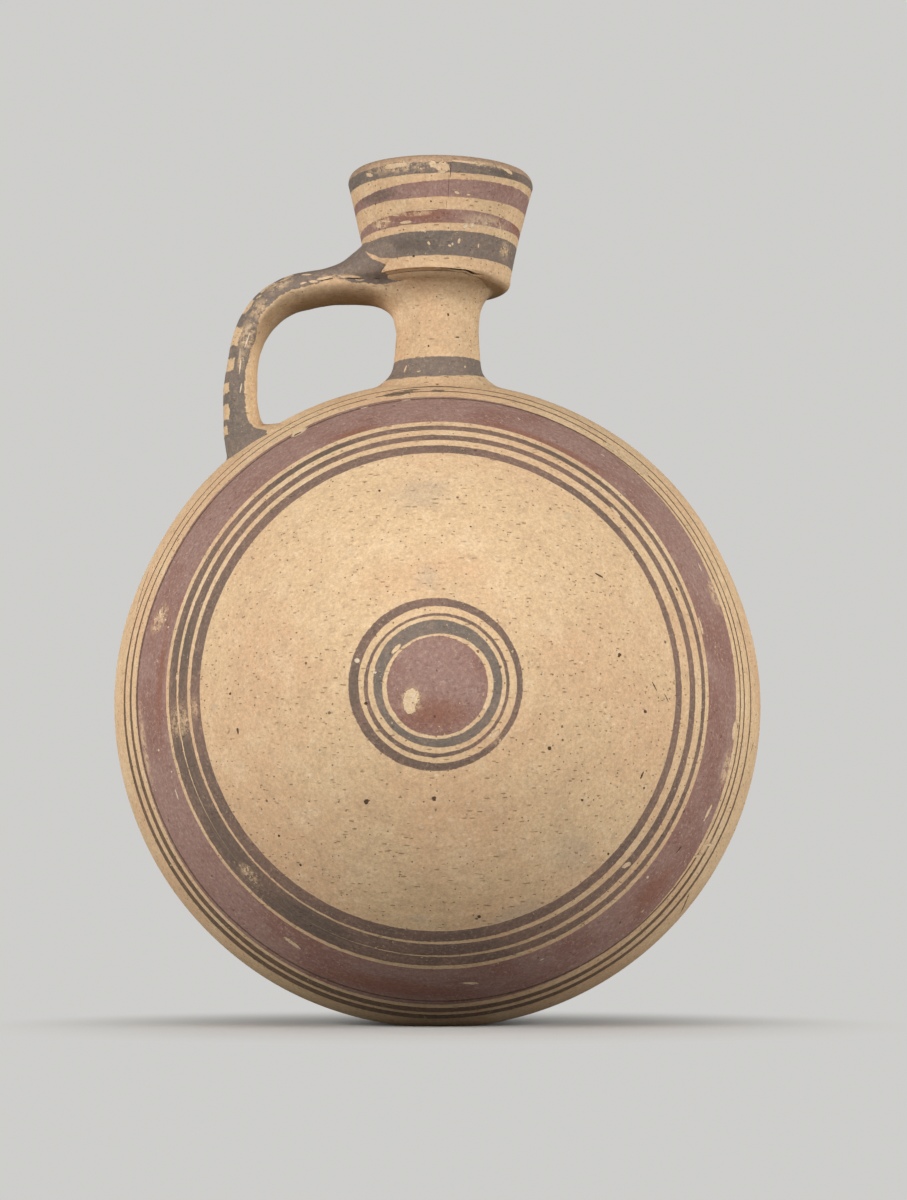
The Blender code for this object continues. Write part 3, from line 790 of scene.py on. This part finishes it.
mouth = dict(
    height=42.2, rimRadius=33.5, rimDrop=3.5, ledgeRadius=26.0, ledgeHeight=4.2, lipWidth=4.8,
    sideShare=1.2, funnelShare=0.7, gap=0.3, columns=420,
    # how much higher the ledge's underside sits at the front and left than at the right, and where that fades
    ledgeRaise=1.7, raiseFrom=12.0, raiseTo=62.0,
    # the open seam under the ledge: from and to in degrees, its place on the way under the ledge, width,
    # depth
    seamFrom=-7.0, seamTo=40.0, seamHigh=10.3, seamLow=8.5, seamWidth=0.42, seamDepth=0.9,
    seamDark=0.86, seamSwing=(0.35, 0.35), seamFade=(0.22, 0.80), seamLips=(0.30, 2.4), seamDrop=0.6,
    # the rows up to the ledge; the way under the ledge where its raised part ends, and where its painted shade
    # ends
    jointRows=56, raisedWay=(9.0, 12.0), shadeWay=(6.0, 12.5), shadeDeep=0.42,
    # nicks in the lip: depth, the sizes of their two patterns, where they start, and how many rows they take
    nickDeep=0.16, nickSizes=(5.5, 9.0), nickFrom=(35.0, 38.5), nickRows=26, nickDrop=0.8,
    swellHigh=0.14, swellSize=17.0,
)
mouthSeat = neck["height"] + mouth["gap"]
mouthBands = dict(
    rim=((38.6, 0.0, 0.3, 0.0, 0.0), (47.0, 0.0, 0.0, 0.0, 0.0), "wash"),
    lip=((36.0, -0.6, 1.0, 0.0, 0.0), (39.2, 0.0, 0.3, 0.0, 0.0), "green"),
    upper=((27.2, 0.1, 0.6, 0.0, 0.0), (31.5, 1.5, 2.2, 0.0, 0.0), "red"),
    lower=((18.0, 0.4, 0.9, 0.0, 0.0), (20.0, 3.1, 1.0, 0.0, 0.0), "red"),
    base=((7.3, -0.1, 0.1, 0.0, 0.0), (15.0, 0.8, 0.6, 0.0, 0.0), "green"),
)
# Height over the mouth's seat, degrees from the front towards the right, length, width, tilt from upright
mouthMarks = dict(
    bare=(
        (37.6, 0.8, 4.4, 5, 0), (38.3, -4.5, 3, 4, 20), (22.8, -10, 0.5, 16, -2), (38.6, -29, 2.2, 9, 0),
        (37.2, -50, 1.6, 3.4, 20), (39.6, 16, 0.9, 14, 2), (38.9, 46, 1.6, 7, 10), (28.9, 11, 0.9, 1.8, 20),
        (28.5, 19, 0.9, 1.3, 0), (19.6, -49, 2.8, 1.2, 40), (20.2, -41, 0.8, 5, 12), (12.6, 15, 1.9, 1, 10),
        (10.6, 8, 0.9, 1.2, 0), (11.6, 31, 1.8, 0.8, 0), (11.4, -8, 1, 1.6, 60), (18.9, -24, 1, 5, 0),
        (21.8, -33, 0.7, 4, 8),
    ),
    pit=(
        (36.6, 6.2, 5, 0.2, 0), (30, 5.4, 8, 0.14, 0), (24.6, 4.6, 3, 0.14, 0), (25.6, -6, 0.8, 0.7, 0),
        (7, -20, 0.9, 0.6, 90),
    ),
    pale=(
        (18.2, 24, 2.4, 1.4, 20), (17.6, 19, 1.8, 1.2, 60), (11.2, 10, 1, 0.8, 0),
    ),
    stain=(
        (20, 33, 6, 22, 0), (1.8, 10, 3, 34, 0), (29.5, -30, 5, 16, 0),
    ),
    worn=(
        (38, -26, 6, 46, 0), (39.6, 30, 2.2, 40, 0), (20, -46, 5, 12, 0), (19.8, 36, 6.5, 24, 0),
        (12, 60, 8, 8, 0), (21.6, -20, 2.2, 26, 0),
    ),
    soot=(
        (29.3, -48, 6, 26, 0), (37.6, 46, 4, 20, 0), (11, -20, 7, 24, 0),
    ),
    brick=(
        (21.5, -12, 7, 34, 0), (21, -45, 6, 20, 0), (22, 70, 8, 14, 0),
    ),
)


def mouthSideRadius(height):
    # a power curve from the ledge out to the rim
    low, high = mouth["ledgeHeight"], mouth["height"] - mouth["rimDrop"]
    risen = np.clip((height - low) / (high - low), 0.0, 1.0)
    return mouth["ledgeRadius"] + (mouth["rimRadius"] - mouth["ledgeRadius"]) * risen ** mouth["sideShare"]


def mouthProfile():
    # heights over its seat: up the inside of the smeared joint, round the ledge, up the side, over the lip
    # and down the funnel into the bore; the bottom closes inside the neck's collar
    rim, ledge, high = mouth["rimRadius"], mouth["ledgeRadius"], mouth["height"]
    sideTop = high - mouth["rimDrop"]
    joint = smoothPath(((16.9, -3.0), (18.4, -1.5), (19.8, -0.3), (21.8, 0.2), (23.7, 0.6), (25.2, 1.5),
                        (25.9, 2.8), (ledge, mouth["ledgeHeight"])), mouth["jointRows"])
    up = np.linspace(mouth["ledgeHeight"], sideTop, 88)[1:]
    side = mouthSideRadius(up)
    middle = rim - mouth["lipWidth"] / 2
    lipTurn = np.linspace(0.0, math.pi, 25)[1:]
    lip = np.column_stack((middle + mouth["lipWidth"] / 2 * np.cos(lipTurn),
                           sideTop + mouth["rimDrop"] * np.sin(lipTurn)))
    down = np.linspace(sideTop, -1.0, 50)[1:]
    fallen = np.clip(down / sideTop, 0.0, 1.0)
    funnel = neck["boreRadius"] - 0.2 + (rim - mouth["lipWidth"] - neck["boreRadius"] + 0.2) * \
        fallen ** mouth["funnelShare"]
    bottom = ((13.0, -1.2), (16.0, -1.6))
    return np.concatenate((joint, np.column_stack((side, up)), lip, np.column_stack((funnel, down)), bottom))


def mouthSpot(height, degrees):
    def pointAt(first, second):
        return leaned(roundAxis(mouthSideRadius(first), math.radians(second), first + mouthSeat))
    return skinFrame(pointAt, height, degrees)


def makeMouth(material):
    profile = mouthProfile()
    sideTop = mouth["height"] - mouth["rimDrop"]
    points, turn = turned(profile, mouth["columns"])
    degrees = (np.degrees(turn) + 180) % 360 - 180
    row = np.arange(len(profile))
    # the paint's place: the height on the side, and past the side's top the way over the lip
    way = running(np.hypot(*np.diff(profile, axis=0).T))
    topRow = int(np.argmin(np.abs(profile[:150, 1] - sideTop)))
    along = np.where(row <= topRow, profile[:, 1], sideTop + way - way[topRow])
    place = np.stack(np.broadcast_arrays(along[:, None], np.cos(turn), np.sin(turn)), -1)
    points = points.copy()
    # under the ledge the rows rise by ledgeRaise where the turn is within raiseFrom of the front or left of
    # it
    swung = np.where(degrees > -120, degrees, degrees + 360)
    raised = 1 - smoothShare(swung, mouth["raiseFrom"], mouth["raiseTo"])
    points[..., 2] += mouth["ledgeRaise"] * (1 - smoothShare(way, *mouth["raisedWay"]))[:, None] * raised
    # the seam is a groove that crosses the rows under the ledge at a slant, with a lip on each side
    share = (degrees - mouth["seamFrom"]) / (mouth["seamTo"] - mouth["seamFrom"])
    swing, pace = mouth["seamSwing"]
    high, low = mouth["seamHigh"], mouth["seamLow"]
    middle = high + (low - high) * share + swing * np.sin(degrees * pace)
    off = (way[:, None] - middle) / mouth["seamWidth"]
    onJoint = (row < mouth["jointRows"])[:, None]
    fadeIn, fadeOut = mouth["seamFade"]
    opened = onJoint * smoothShare(share, 0.0, fadeIn) * (1 - smoothShare(share, fadeOut, 1.0))
    lipHigh, lipOff = mouth["seamLips"]
    lips = lipHigh * np.exp(-(np.abs(off) - lipOff) ** 2)
    groove = opened * (lips - mouth["seamDepth"] * np.exp(-off ** 2))
    # painted shade under the ledge, fading out along the way, and painted shade along the open seam's groove
    paintedShadeLevel = mouth["shadeDeep"] * (1 - smoothShare(way, *mouth["shadeWay"]))[:, None]
    paintedShadeLevel = np.maximum(paintedShadeLevel, opened * mouth["seamDark"] * np.exp(-(off / 1.25) ** 2))
    lipPart = (smoothShare(along, *mouth["nickFrom"]) * (row < topRow + mouth["nickRows"]))[:, None]
    small, large = (lumps(points, size) for size in mouth["nickSizes"])
    nicks = mouth["nickDeep"] * small * large * lipPart
    swell = mouth["swellHigh"] * (lumps(points, mouth["swellSize"]) - 1)
    swollen(points, swell + nicks + groove, turn)
    points[..., 2] += mouthSeat - mouth["seamDrop"] * groove - mouth["nickDrop"] * np.maximum(nicks, 0.0)
    makePiece("mouthFunnel", leaned(points).reshape(-1, 3), [gridQuads(*turn.shape, rowsClosed=True)], material,
              "mouth",
              {"paintPlace": place, "paintedShade": asPaintedShade(np.broadcast_to(paintedShadeLevel, turn.shape))})


def mouthPaint(place, wobble):
    height, wander, vector = readPlace("paintPlace")
    return ringMasks(mouthBands.values(), scaled(wobble, 0.7, height), wander), brushed(vector, 1.4, 4.0)


# The handle

handle = dict(
    reach=71.4, thickness=10.6, width=26.0, seatShare=0.955, rows=300, columns=132,
    # the section is a lens: how round its sides, its outside and its inside are, and the rise of its two
    # edges, which changes between two places on the way
    sideShare=0.78, outShare=0.9, inShare=0.74, edgeWay=(40.0, 66.0), edgeRise=(-0.04, -0.30),
    # the strap's middle line: how far out, how far up, then its thickness and its width, all as shares
    path=(
        (0.17, 0.968, 1.16, 0.70), (0.26, 0.967, 1.14, 0.86), (0.35, 0.966, 1.13, 1.0), (0.44, 0.965, 1.12, 1.04),
        (0.54, 0.96, 1.12, 1.02),
        (0.66, 0.938, 1.15, 1.0), (0.765, 0.898, 1.16, 1.0), (0.858, 0.818, 1.13, 1.0), (0.928, 0.70, 1.07, 1.0),
        (0.97, 0.543, 1.0, 1.0), (0.988, 0.33, 1.1, 1.0), (0.978, 0.135, 1.26, 1.02), (0.955, 0.0, 1.42, 1.06),
        (0.91, -0.18, 1.6, 1.1),
    ),
    # the smeared corners, as the reach of each where the strap's outside, inside and edges meet the mouth and
    # neck, and where they meet the barrel
    rootReach=(19.5, 12.5, 5.5), footReach=(0.5, 6.5, 2.5), filletRows=120, mostSwell=24.0, smoothings=6,
    # gentle unevenness: heights and sizes
    swells=((0.20, 16.0), (0.08, 6.0)),
    # the neck's collar and the ledge's underside on the strap's side, as heights and radii, and how far their
    # outline is smoothed for the smear
    collar=((33.2, 19.5), (34.0, 21.3), (34.8, 22.9), (35.6, 23.6), (36.7, 25.2), (37.7, 26.0)),
    outlineBlur=2.4, blurRows=60,
    featherRows=26, featherStep=0.45, featherSunk=0.45, featherBack=0.9, depthKept=(6.5, 11.0),
    footKept=(0.2, 2.4),
    # the smear on the mouth's side is pulled in towards its top end: how deep, and between which heights
    topSunk=3.2, topFades=(10.5, 17.0),
    # how near the neck's skin the strap sinks, how deep under it that ends, and the clay it leaves round
    # the bore
    sunkWithin=0.8, sunkFrom=2.0, leastWall=1.2,
    # painted shade under the strap: how dark, and where on the way it fades as the strap turns down
    shadeDeep=0.46, shadeFade=(52.0, 78.0),
    # the paint's lower edge: way along the strap from the mouth end, and how far past the edge it goes
    # inwards, mm
    paintEdge=((0, 1.6), (12, 1.2), (19, 0.8), (24, -0.9), (27, -0.6), (31, 0.4), (38, 0.5), (50, 0.4), (57, 0.6),
               (61, 1.6), (65, 2.4), (70, 1.4), (77, 0.6), (92, 0.4), (96, 0.8), (99, 2.2), (102, 7.0)),
    paintTaper=0.45,
    # the ledge's plain strip over the root: degrees from the front, and the height of its lower and upper
    # edges
    stripLow=((-90, 16.0), (-61, 10.9), (-54, 7.5), (-45, 5.0), (-33, 2.8), (0, 2.8)),
    stripHigh=((-90, 7.0), (-61, 10.9), (-54, 9.1), (-48, 7.6), (-38, 7.2), (0, 7.2)),
    # the plain rungs across its outside: where each starts and ends on the way, and the least rise it reaches
    rungs=((38.4, 41.0, 0.80), (44.4, 49.4, 0.70), (52.4, 57.6, 0.66), (62.4, 68.6, 0.40), (73.0, 77.4, 0.40),
           (81.6, 85.2, 0.56), (88.8, 94.0, 0.58), (96.2, 99.0, 0.72)),
)
handleMarks = dict(
    bare=(
        (19, 9, 7, 0.9, 4), (27.5, 11, 5.5, 1.1, -6), (32, 5, 3.2, 1, 12), (15.5, 2, 3.2, 1, 0),
        (35.5, 6, 2.6, 0.9, 0), (34, 34, 4, 1.4, 20), (41, 44, 5, 1.2, 0), (50.5, 40, 2.6, 1.2, 30),
    ),
    pale=(
        (76, 10, 5, 0.6, 0), (84, 5, 4, 0.5, 10), (66, 4, 6, 0.6, 4), (71, 16, 3, 0.5, -8),
        (22, 30, 1.6, 0.7, 40), (12, 36, 1.4, 0.7, 10),
    ),
    worn=(
        (64, 4, 15, 9, 0), (54, 12, 10, 9, 0), (43, 30, 13, 7, 0), (24, 10, 15, 3, 0), (73, 10, 9, 3.5, 0),
    ),
    pit=(
        (17, 4, 6, 0.4, 3), (27, 5, 4.5, 0.35, -4), (9.5, 3, 2.6, 0.3, 10),
    ),
    stain=(
        (30, -110, 26, 10, 0),
    ),
)


def handleLine():
    # the strap's middle line in the neck's leaning plane, with its half thickness and half width
    shares = smoothPath(handle["path"], handle["rows"])
    across = neck["offset"] - handle["reach"] * shares[:, 0]
    low = float(surfaceHeight(neck["offset"] - handle["reach"] * handle["seatShare"], 0.0))
    high = profileTop + neck["height"] + mouth["ledgeHeight"]
    up = low + (high - low) * shares[:, 1]
    back = (up - profileTop) * math.tan(math.radians(neck["leanBack"]))
    return (np.column_stack((across, back, up)), handle["thickness"] / 2 * shares[:, 2],
            handle["width"] / 2 * shares[:, 3])


handleMiddle, handleThick, handleWide = handleLine()
handleWay = running(np.linalg.norm(np.diff(handleMiddle, axis=0), axis=1))
handleEdge = np.interp(handleWay, handle["edgeWay"], handle["edgeRise"])


def handleSection(turn, edge):
    # a lens: rise is +1 outside the strap, edge at its two edges and -1 inside; side is -1 at its front
    power = np.where(np.cos(turn) > 0, handle["outShare"], handle["inShare"])
    reach = np.where(np.cos(turn) > 0, 1 - edge, -1 - edge)
    rise = edge + reach * np.abs(np.cos(turn)) ** power
    side = np.sign(np.sin(turn)) * np.abs(np.sin(turn)) ** handle["sideShare"]
    return rise, side


def middleAt(way):
    return np.array([np.interp(way, handleWay, column) for column in handleMiddle.T])


def handleSpot(way, degrees):
    # degrees 0 is the middle of the front side; it grows towards the outside
    def pointAt(first, second):
        middle = middleAt(first)
        ahead = middleAt(first + 1.0) - middle
        ahead[1] = 0.0
        ahead /= np.linalg.norm(ahead)
        rise, side = handleSection(math.radians(second - 90.0), np.interp(first, handleWay, handleEdge))
        outward = np.array((ahead[2], 0.0, -ahead[0]))
        point = middle + outward * rise * np.interp(first, handleWay, handleThick)
        point[1] += side * np.interp(first, handleWay, handleWide)
        return point
    return skinFrame(pointAt, way, degrees)


def neckOutlines():
    # heights on the neck's axis, the radii of the neck and mouth there, the same smoothed, and those of the
    # bore and the funnel inside
    sideHigh = mouth["height"] - mouth["rimDrop"]
    heights = np.linspace(2.0, mouthSeat + sideHigh, 420)
    collar = np.array(handle["collar"])
    radii = np.interp(heights, *collar.T)
    radii = np.where(heights < neck["height"], neckRadius(heights), radii)
    radii = np.where(heights > collar[-1, 0], mouthSideRadius(heights - mouthSeat), radii)
    reach = handle["blurRows"]
    weights = np.exp(-(np.arange(-reach, reach + 1) * (heights[1] - heights[0]) / handle["outlineBlur"]) ** 2)
    smooth = np.convolve(np.pad(radii, reach, mode="edge"), weights / weights.sum(), mode="valid")
    fallen = np.clip((heights - mouthSeat) / sideHigh, 0.0, 1.0)
    widest = mouth["rimRadius"] - mouth["lipWidth"] - neck["boreRadius"]
    return heights, radii, smooth, neck["boreRadius"] + widest * fallen ** mouth["funnelShare"]


def besideNeck(own, heights, radii):
    # signed distance from a turned outline, in the neck's own frame, and the direction away from it
    radius = np.maximum(np.hypot(own[..., 0], own[..., 1]), 1e-3)
    slope = np.interp(own[..., 2], heights, np.gradient(radii, heights))
    flat = 1 / np.sqrt(1 + slope ** 2)
    distance = (radius - np.interp(own[..., 2], heights, radii)) * flat
    outward = np.stack((own[..., 0] / radius * flat, own[..., 1] / radius * flat, -slope * flat), -1)
    return distance, outward


def besideBarrel(points):
    # signed distance from the barrel's skin, measured across its axis
    radius = barrel["radius"] * radiusShare(np.clip(np.abs(points[..., 1]) / barrel["halfLength"], 0.0, 1.0))
    return np.hypot(points[..., 0], points[..., 2] - barrel["centreHeight"]) - radius


def smeared(points, normal, reach, distanceOf):
    # how far to push points of the strap along their normals so that a smear joins it to another surface.
    # With a the way pushed and b the distance from that surface, the smear is where min(a, b) - reach / 4 *
    # max(1 - |a - b| / reach, 0)^2 = 0
    steps = np.linspace(0.0, handle["mostSwell"], 61)
    beside = distanceOf(points[..., None, :] + steps[:, None] * normal[..., None, :])
    share = np.clip(1 - np.abs(steps - beside) / reach[..., None], 0.0, 1.0)
    union = np.minimum(steps, beside) - share ** 2 * reach[..., None] / 4
    done = union >= 0
    done[..., -1] = True
    after = done.argmax(-1)[..., None]
    before = np.maximum(after - 1, 0)
    low, high = np.take_along_axis(union, before, -1), np.take_along_axis(union, after, -1)
    part = np.clip(-low / np.maximum(high - low, 1e-6), 0.0, 1.0)
    return (steps[before] + (steps[after] - steps[before]) * part)[..., 0]


def feathered(own, heights, radii):
    # rows that carry the strap's first row on over the neck's skin, sinking below it, then back inside the
    # wall
    count, step, sunk = handle["featherRows"], handle["featherStep"], handle["featherSunk"]
    last, heading = own[0], own[0] - own[1]
    first, _ = besideNeck(own[0], heights, radii)
    second, _ = besideNeck(own[1], heights, radii)
    apart = np.maximum(np.linalg.norm(heading, axis=1), 1e-3)
    fall = np.clip((first - second) / apart * step * count, -6.0, 0.0)
    aim = np.minimum(first, -sunk)
    rows = []
    for row in range(1, count + 1):
        part = row / count
        wanted = first + (aim - first) * part ** 2 * (3 - 2 * part)
        wanted = wanted + fall * part * (1 - part) ** 2 * (first > -sunk)
        ahead = last + step * heading / np.maximum(np.linalg.norm(heading, axis=1), 1e-3)[:, None]
        distance, outward = besideNeck(ahead, heights, radii)
        ahead = ahead + (wanted - distance)[:, None] * outward
        last, heading = ahead, ahead - last
        rows.append(ahead)
    back = [rows[index] for index in range(count - 1, 0, -5)]
    back = [row - handle["featherBack"] * besideNeck(row, heights, radii)[1] for row in back]
    return np.array((back[::-1] + rows[::-1]))


def makeHandle(material):
    # the section carried along the strap's line, then swollen into fillets beside the mouth, neck and barrel
    along = np.gradient(handleMiddle, axis=0)
    along[:, 1] = 0.0
    along /= np.linalg.norm(along, axis=1)[:, None]
    outward = np.column_stack((along[:, 2], np.zeros(len(along)), -along[:, 0]))
    turn = np.linspace(0.0, 2 * math.pi, handle["columns"], endpoint=False)
    edge = handleEdge[:, None]
    rise, side = handleSection(turn, edge)
    side = np.broadcast_to(side, rise.shape)
    points = handleMiddle[:, None, :] + (handleThick[:, None] * rise)[:, :, None] * outward[:, None, :]
    points[:, :, 1] += handleWide[:, None] * side
    normal = np.cross(np.roll(points, -1, 1) - np.roll(points, 1, 1), along[:, None, :])
    normal /= np.maximum(np.linalg.norm(normal, axis=2), 1e-6)[:, :, None]
    normal *= np.sign((normal * (points - handleMiddle[:, None, :])).sum(2))[:, :, None]
    outer, inner = smoothShare(rise - edge, 0.0, 0.6), smoothShare(edge - rise, 0.0, 0.5)
    reaches = [edges + (outside - edges) * outer + (inside - edges) * inner
               for outside, inside, edges in (handle["rootReach"], handle["footReach"])]
    swell = np.zeros(rise.shape)
    near = handle["filletRows"]
    heights, radii, smooth, inside = neckOutlines()
    depth = -besideNeck(neckFrame(points), heights, smooth)[0]
    swell[:near] = smeared(points[:near], normal[:near], reaches[0][:near],
                           lambda tried: besideNeck(neckFrame(tried), heights, smooth)[0])
    swell *= 1 - smoothShare(depth, *handle["depthKept"])
    swell[-near:] = smeared(points[-near:], normal[-near:], reaches[1][-near:], besideBarrel)
    swell[-near:] *= 1 - smoothShare(-besideBarrel(points[-near:]), *handle["footKept"])
    for _ in range(handle["smoothings"]):
        swell = (2 * swell + np.roll(swell, 1, 1) + np.roll(swell, -1, 1)) / 4
        swell[1:-1] = (2 * swell[1:-1] + swell[:-2] + swell[2:]) / 4
    for high, size in handle["swells"]:
        swell = swell + high * lumps(points, size)
    points = points + swell[:, :, None] * normal
    # close to the neck's skin the strap sinks below it, and inside it keeps clear of the bore and the funnel
    own = neckFrame(points)
    above, away = besideNeck(own, heights, radii)
    deepest = -handle["sunkFrom"]
    sunk = handle["featherSunk"] * np.clip(1 - above / handle["sunkWithin"], 0.0, 1.0) * (above > deepest)
    up = own[..., 2] - neck["height"] - mouth["gap"]
    sunk = sunk + handle["topSunk"] * smoothShare(up, *handle["topFades"]) * smoothShare(above, deepest, 0.0)
    own = own - sunk[:, :, None] * away
    own = np.concatenate((feathered(own, heights, radii), own))
    radius = np.hypot(own[..., 0], own[..., 1])
    least = np.interp(own[..., 2], heights, inside) + handle["leastWall"]
    kept = np.maximum(radius, least) / np.maximum(radius, 1e-3)
    own[..., :2] *= np.where(own[..., 2] > 0.0, kept, 1.0)[..., None]
    extra = len(own) - len(points)
    points = leaned(own)
    way = np.concatenate((handle["featherStep"] * np.arange(-extra, 0), handleWay))[:, None]
    rise, side = (np.concatenate((np.repeat(part[:1], extra, axis=0), part)) for part in (rise, side))
    edge, thick = (np.concatenate((np.full(extra, part[0]), part))[:, None]
                   for part in (handleEdge, handleThick))
    place = np.stack(np.broadcast_arrays(way, rise, side), -1)
    # how far each point is inside the paint and inside a rung, in millimetres
    edgeWay, edgePast = np.array(handle["paintEdge"]).T
    girth = np.linalg.norm(np.diff(points, axis=1, append=points[:, :1]), axis=2)
    girthWay = np.cumsum(girth, axis=1) - girth
    quarter = handle["columns"] // 4
    toEdge = np.minimum(np.abs(girthWay - girthWay[:, quarter:quarter + 1]),
                        np.abs(girthWay - girthWay[:, 3 * quarter:3 * quarter + 1]))
    painted = np.where(rise > edge, toEdge, -toEdge) + np.interp(way, edgeWay, edgePast)
    painted = painted + handle["paintTaper"] * np.minimum(way, 0.0)
    inRung = np.max([np.minimum(np.minimum(way - start, end - way), (rise - least) * thick)
                     for start, end, least in handle["rungs"]], axis=0)
    inRung = np.maximum(inRung, -9.0)
    # how far each point is inside the plain strip of the ledge, which runs out to a point over the strap's
    # root
    up = own[..., 2] - neck["height"] - mouth["gap"]
    degrees = np.degrees(np.arctan2(own[..., 0], -own[..., 1]))
    low, high = (np.interp(degrees, *np.array(handle[key]).T) for key in ("stripLow", "stripHigh"))
    inStrip = np.where(np.abs(degrees) < 100, np.minimum(up - low, high - up), -9.0)
    edges = np.stack((painted, inRung, inStrip), -1)
    # painted shade under the strap
    level = (1 - smoothShare(way, *handle["shadeFade"])) * (0.4 + 0.6 * smoothShare(way, -9.0, 6.0))
    close = np.concatenate((np.zeros((extra, handle["columns"])), smoothShare(above, 1.0, 10.0)))
    paintedShadeLevel = handle["shadeDeep"] * level * smoothShare(edge - rise, 0.0, 0.35) * close
    # on the neck's skin the smear takes the painted shade of the collar around it
    collarPaintedShade = smoothShare(own[..., 2], neck["shadeFrom"], neck["height"]) * (1 - smoothShare(up, 2.0, 4.0))
    paintedShadeLevel = np.maximum(paintedShadeLevel, neck["shadeDeep"] * collarPaintedShade * (1 - close))
    paintedShadeLevel = np.append(paintedShadeLevel.reshape(-1), (0.0, 0.0))
    places = np.concatenate((place.reshape(-1, 3), ((way[0, 0], 0.0, 0.0), (way[-1, 0], 0.0, 0.0))))
    allEdges = np.concatenate((edges.reshape(-1, 3), ((0.0, -9.0, 0.0), (0.0, -9.0, 0.0))))
    allPoints, faces = capped(points, (points[0].mean(0), handleMiddle[-1]))
    makePiece("handleStrap", allPoints, faces, material, "handle",
              {"paintPlace": places, "paintEdge": allEdges, "paintedShade": asPaintedShade(paintedShadeLevel)})


def handlePaint(place, wobble):
    # the attribute's three distances, each made ragged, give the painted outside, the rungs and the plain
    # strip
    vector = make("Attribute", attribute_name="paintPlace", out="Vector")
    edges = make("SeparateXYZ", {0: make("Attribute", attribute_name="paintEdge", out="Vector")}).node.outputs
    ragged = scaled(noise(place, 1.6, 3.0, 0.65), 1.5, -0.75)
    outside = ramp(calc("ADD", scaled(wobble, 1.4, edges[0]), ragged), -0.10, 0.10)
    rung = ramp(calc("ADD", scaled(wobble, 1.0, edges[1]), ragged), -0.12, 0.12)
    strip = ramp(scaled(wobble, 0.6, edges[2]), -0.10, 0.10)
    return {"green": times(outside, minus(1.0, together((rung, strip))))}, brushed(vector, 0.5, 3.0)


# The stage

def makeStage():
    # a round floor that curves up into a wall all round: radius and height follow a quarter circle between
    # them
    radius, wall = studio["floorRadius"], studio["wallRadius"]
    turn = np.linspace(0.0, math.pi / 2, 16)
    bend = wall - radius
    profile = np.concatenate((((1.0, 0.0), (400.0, 0.0), (1200.0, 0.0)),
                              np.column_stack((radius + bend * np.sin(turn), bend * (1 - np.cos(turn)))),
                              ((wall, studio["wallHeight"]),)))
    points, turns = turned(profile, 96)
    mesh = bpy.data.meshes.new("studioFloor")
    faces = gridQuads(*turns.shape).tolist() + [list(range(turns.shape[1]))]
    mesh.from_pydata(points.reshape(-1, 3) * mm, [], faces)
    mesh.shade_smooth()
    material = newMaterial("pale_floor")
    ray = make("LightPath").node.outputs
    seen = together((ray["Is Camera Ray"], ray["Is Glossy Ray"], ray["Is Transmission Ray"]))
    colour = blend(seen, (studio["floorDim"],) * 3, studio["floorPale"])
    lit = make("BsdfDiffuse", {"Color": colour})
    even = make("Emission", {"Color": rgba(studio["evenTone"])})
    away = make("VectorMath", {0: make("TexCoord", out="Object")}, out="Value", operation="LENGTH")
    far = ramp(away, studio["shadowReach"] * mm, studio["evenReach"] * mm)
    share = times(far, seen)
    make("OutputMaterial", {"Surface": make("MixShader", {0: share, 1: lit, 2: even})})
    mesh.materials.append(material)
    made = addObject("studioFloor", mesh)

    world = bpy.data.worlds.new("softSky")
    world.use_nodes = True
    startTree(world.node_tree)
    ray = make("LightPath").node.outputs["Is Camera Ray"]
    strength = scaled(ray, studio["paleSky"] - studio["skyStrength"], studio["skyStrength"])
    sky = make("Background", {"Color": (1.0, 0.99, 0.97, 1.0), "Strength": strength})
    make("OutputWorld", {"Surface": sky})
    bpy.context.scene.world = world


bpy.context.scene.view_settings.view_transform = "Standard"
makeCamera()
makeLamp("softBoxRight", studio["rightPower"], 1)
makeLamp("softBoxLeft", studio["leftPower"], -1)
makeStage()
print("camera, lamps and floor made")

barrelClay = clayMaterial("barrel_clay_and_paint", barrelPaint, barrelMarks, barrelSpot, 1.0, 0.92)
barrelHalf("barrelFront", "barrel_front_half", -1, barrelClay)
barrelHalf("barrelBack", "barrel_back_half", 1, barrelClay)
makeNeck(clayMaterial("neck_clay_and_paint", neckPaint, neckMarks, neckSpot, 0.88,
                      otherFrames={"smear": barrelSpot}))
makeMouth(clayMaterial("mouth_clay_and_paint", mouthPaint, mouthMarks, mouthSpot, 0.90, 0.94))
makeHandle(clayMaterial("handle_clay_and_paint", handlePaint, handleMarks, handleSpot, 0.90))
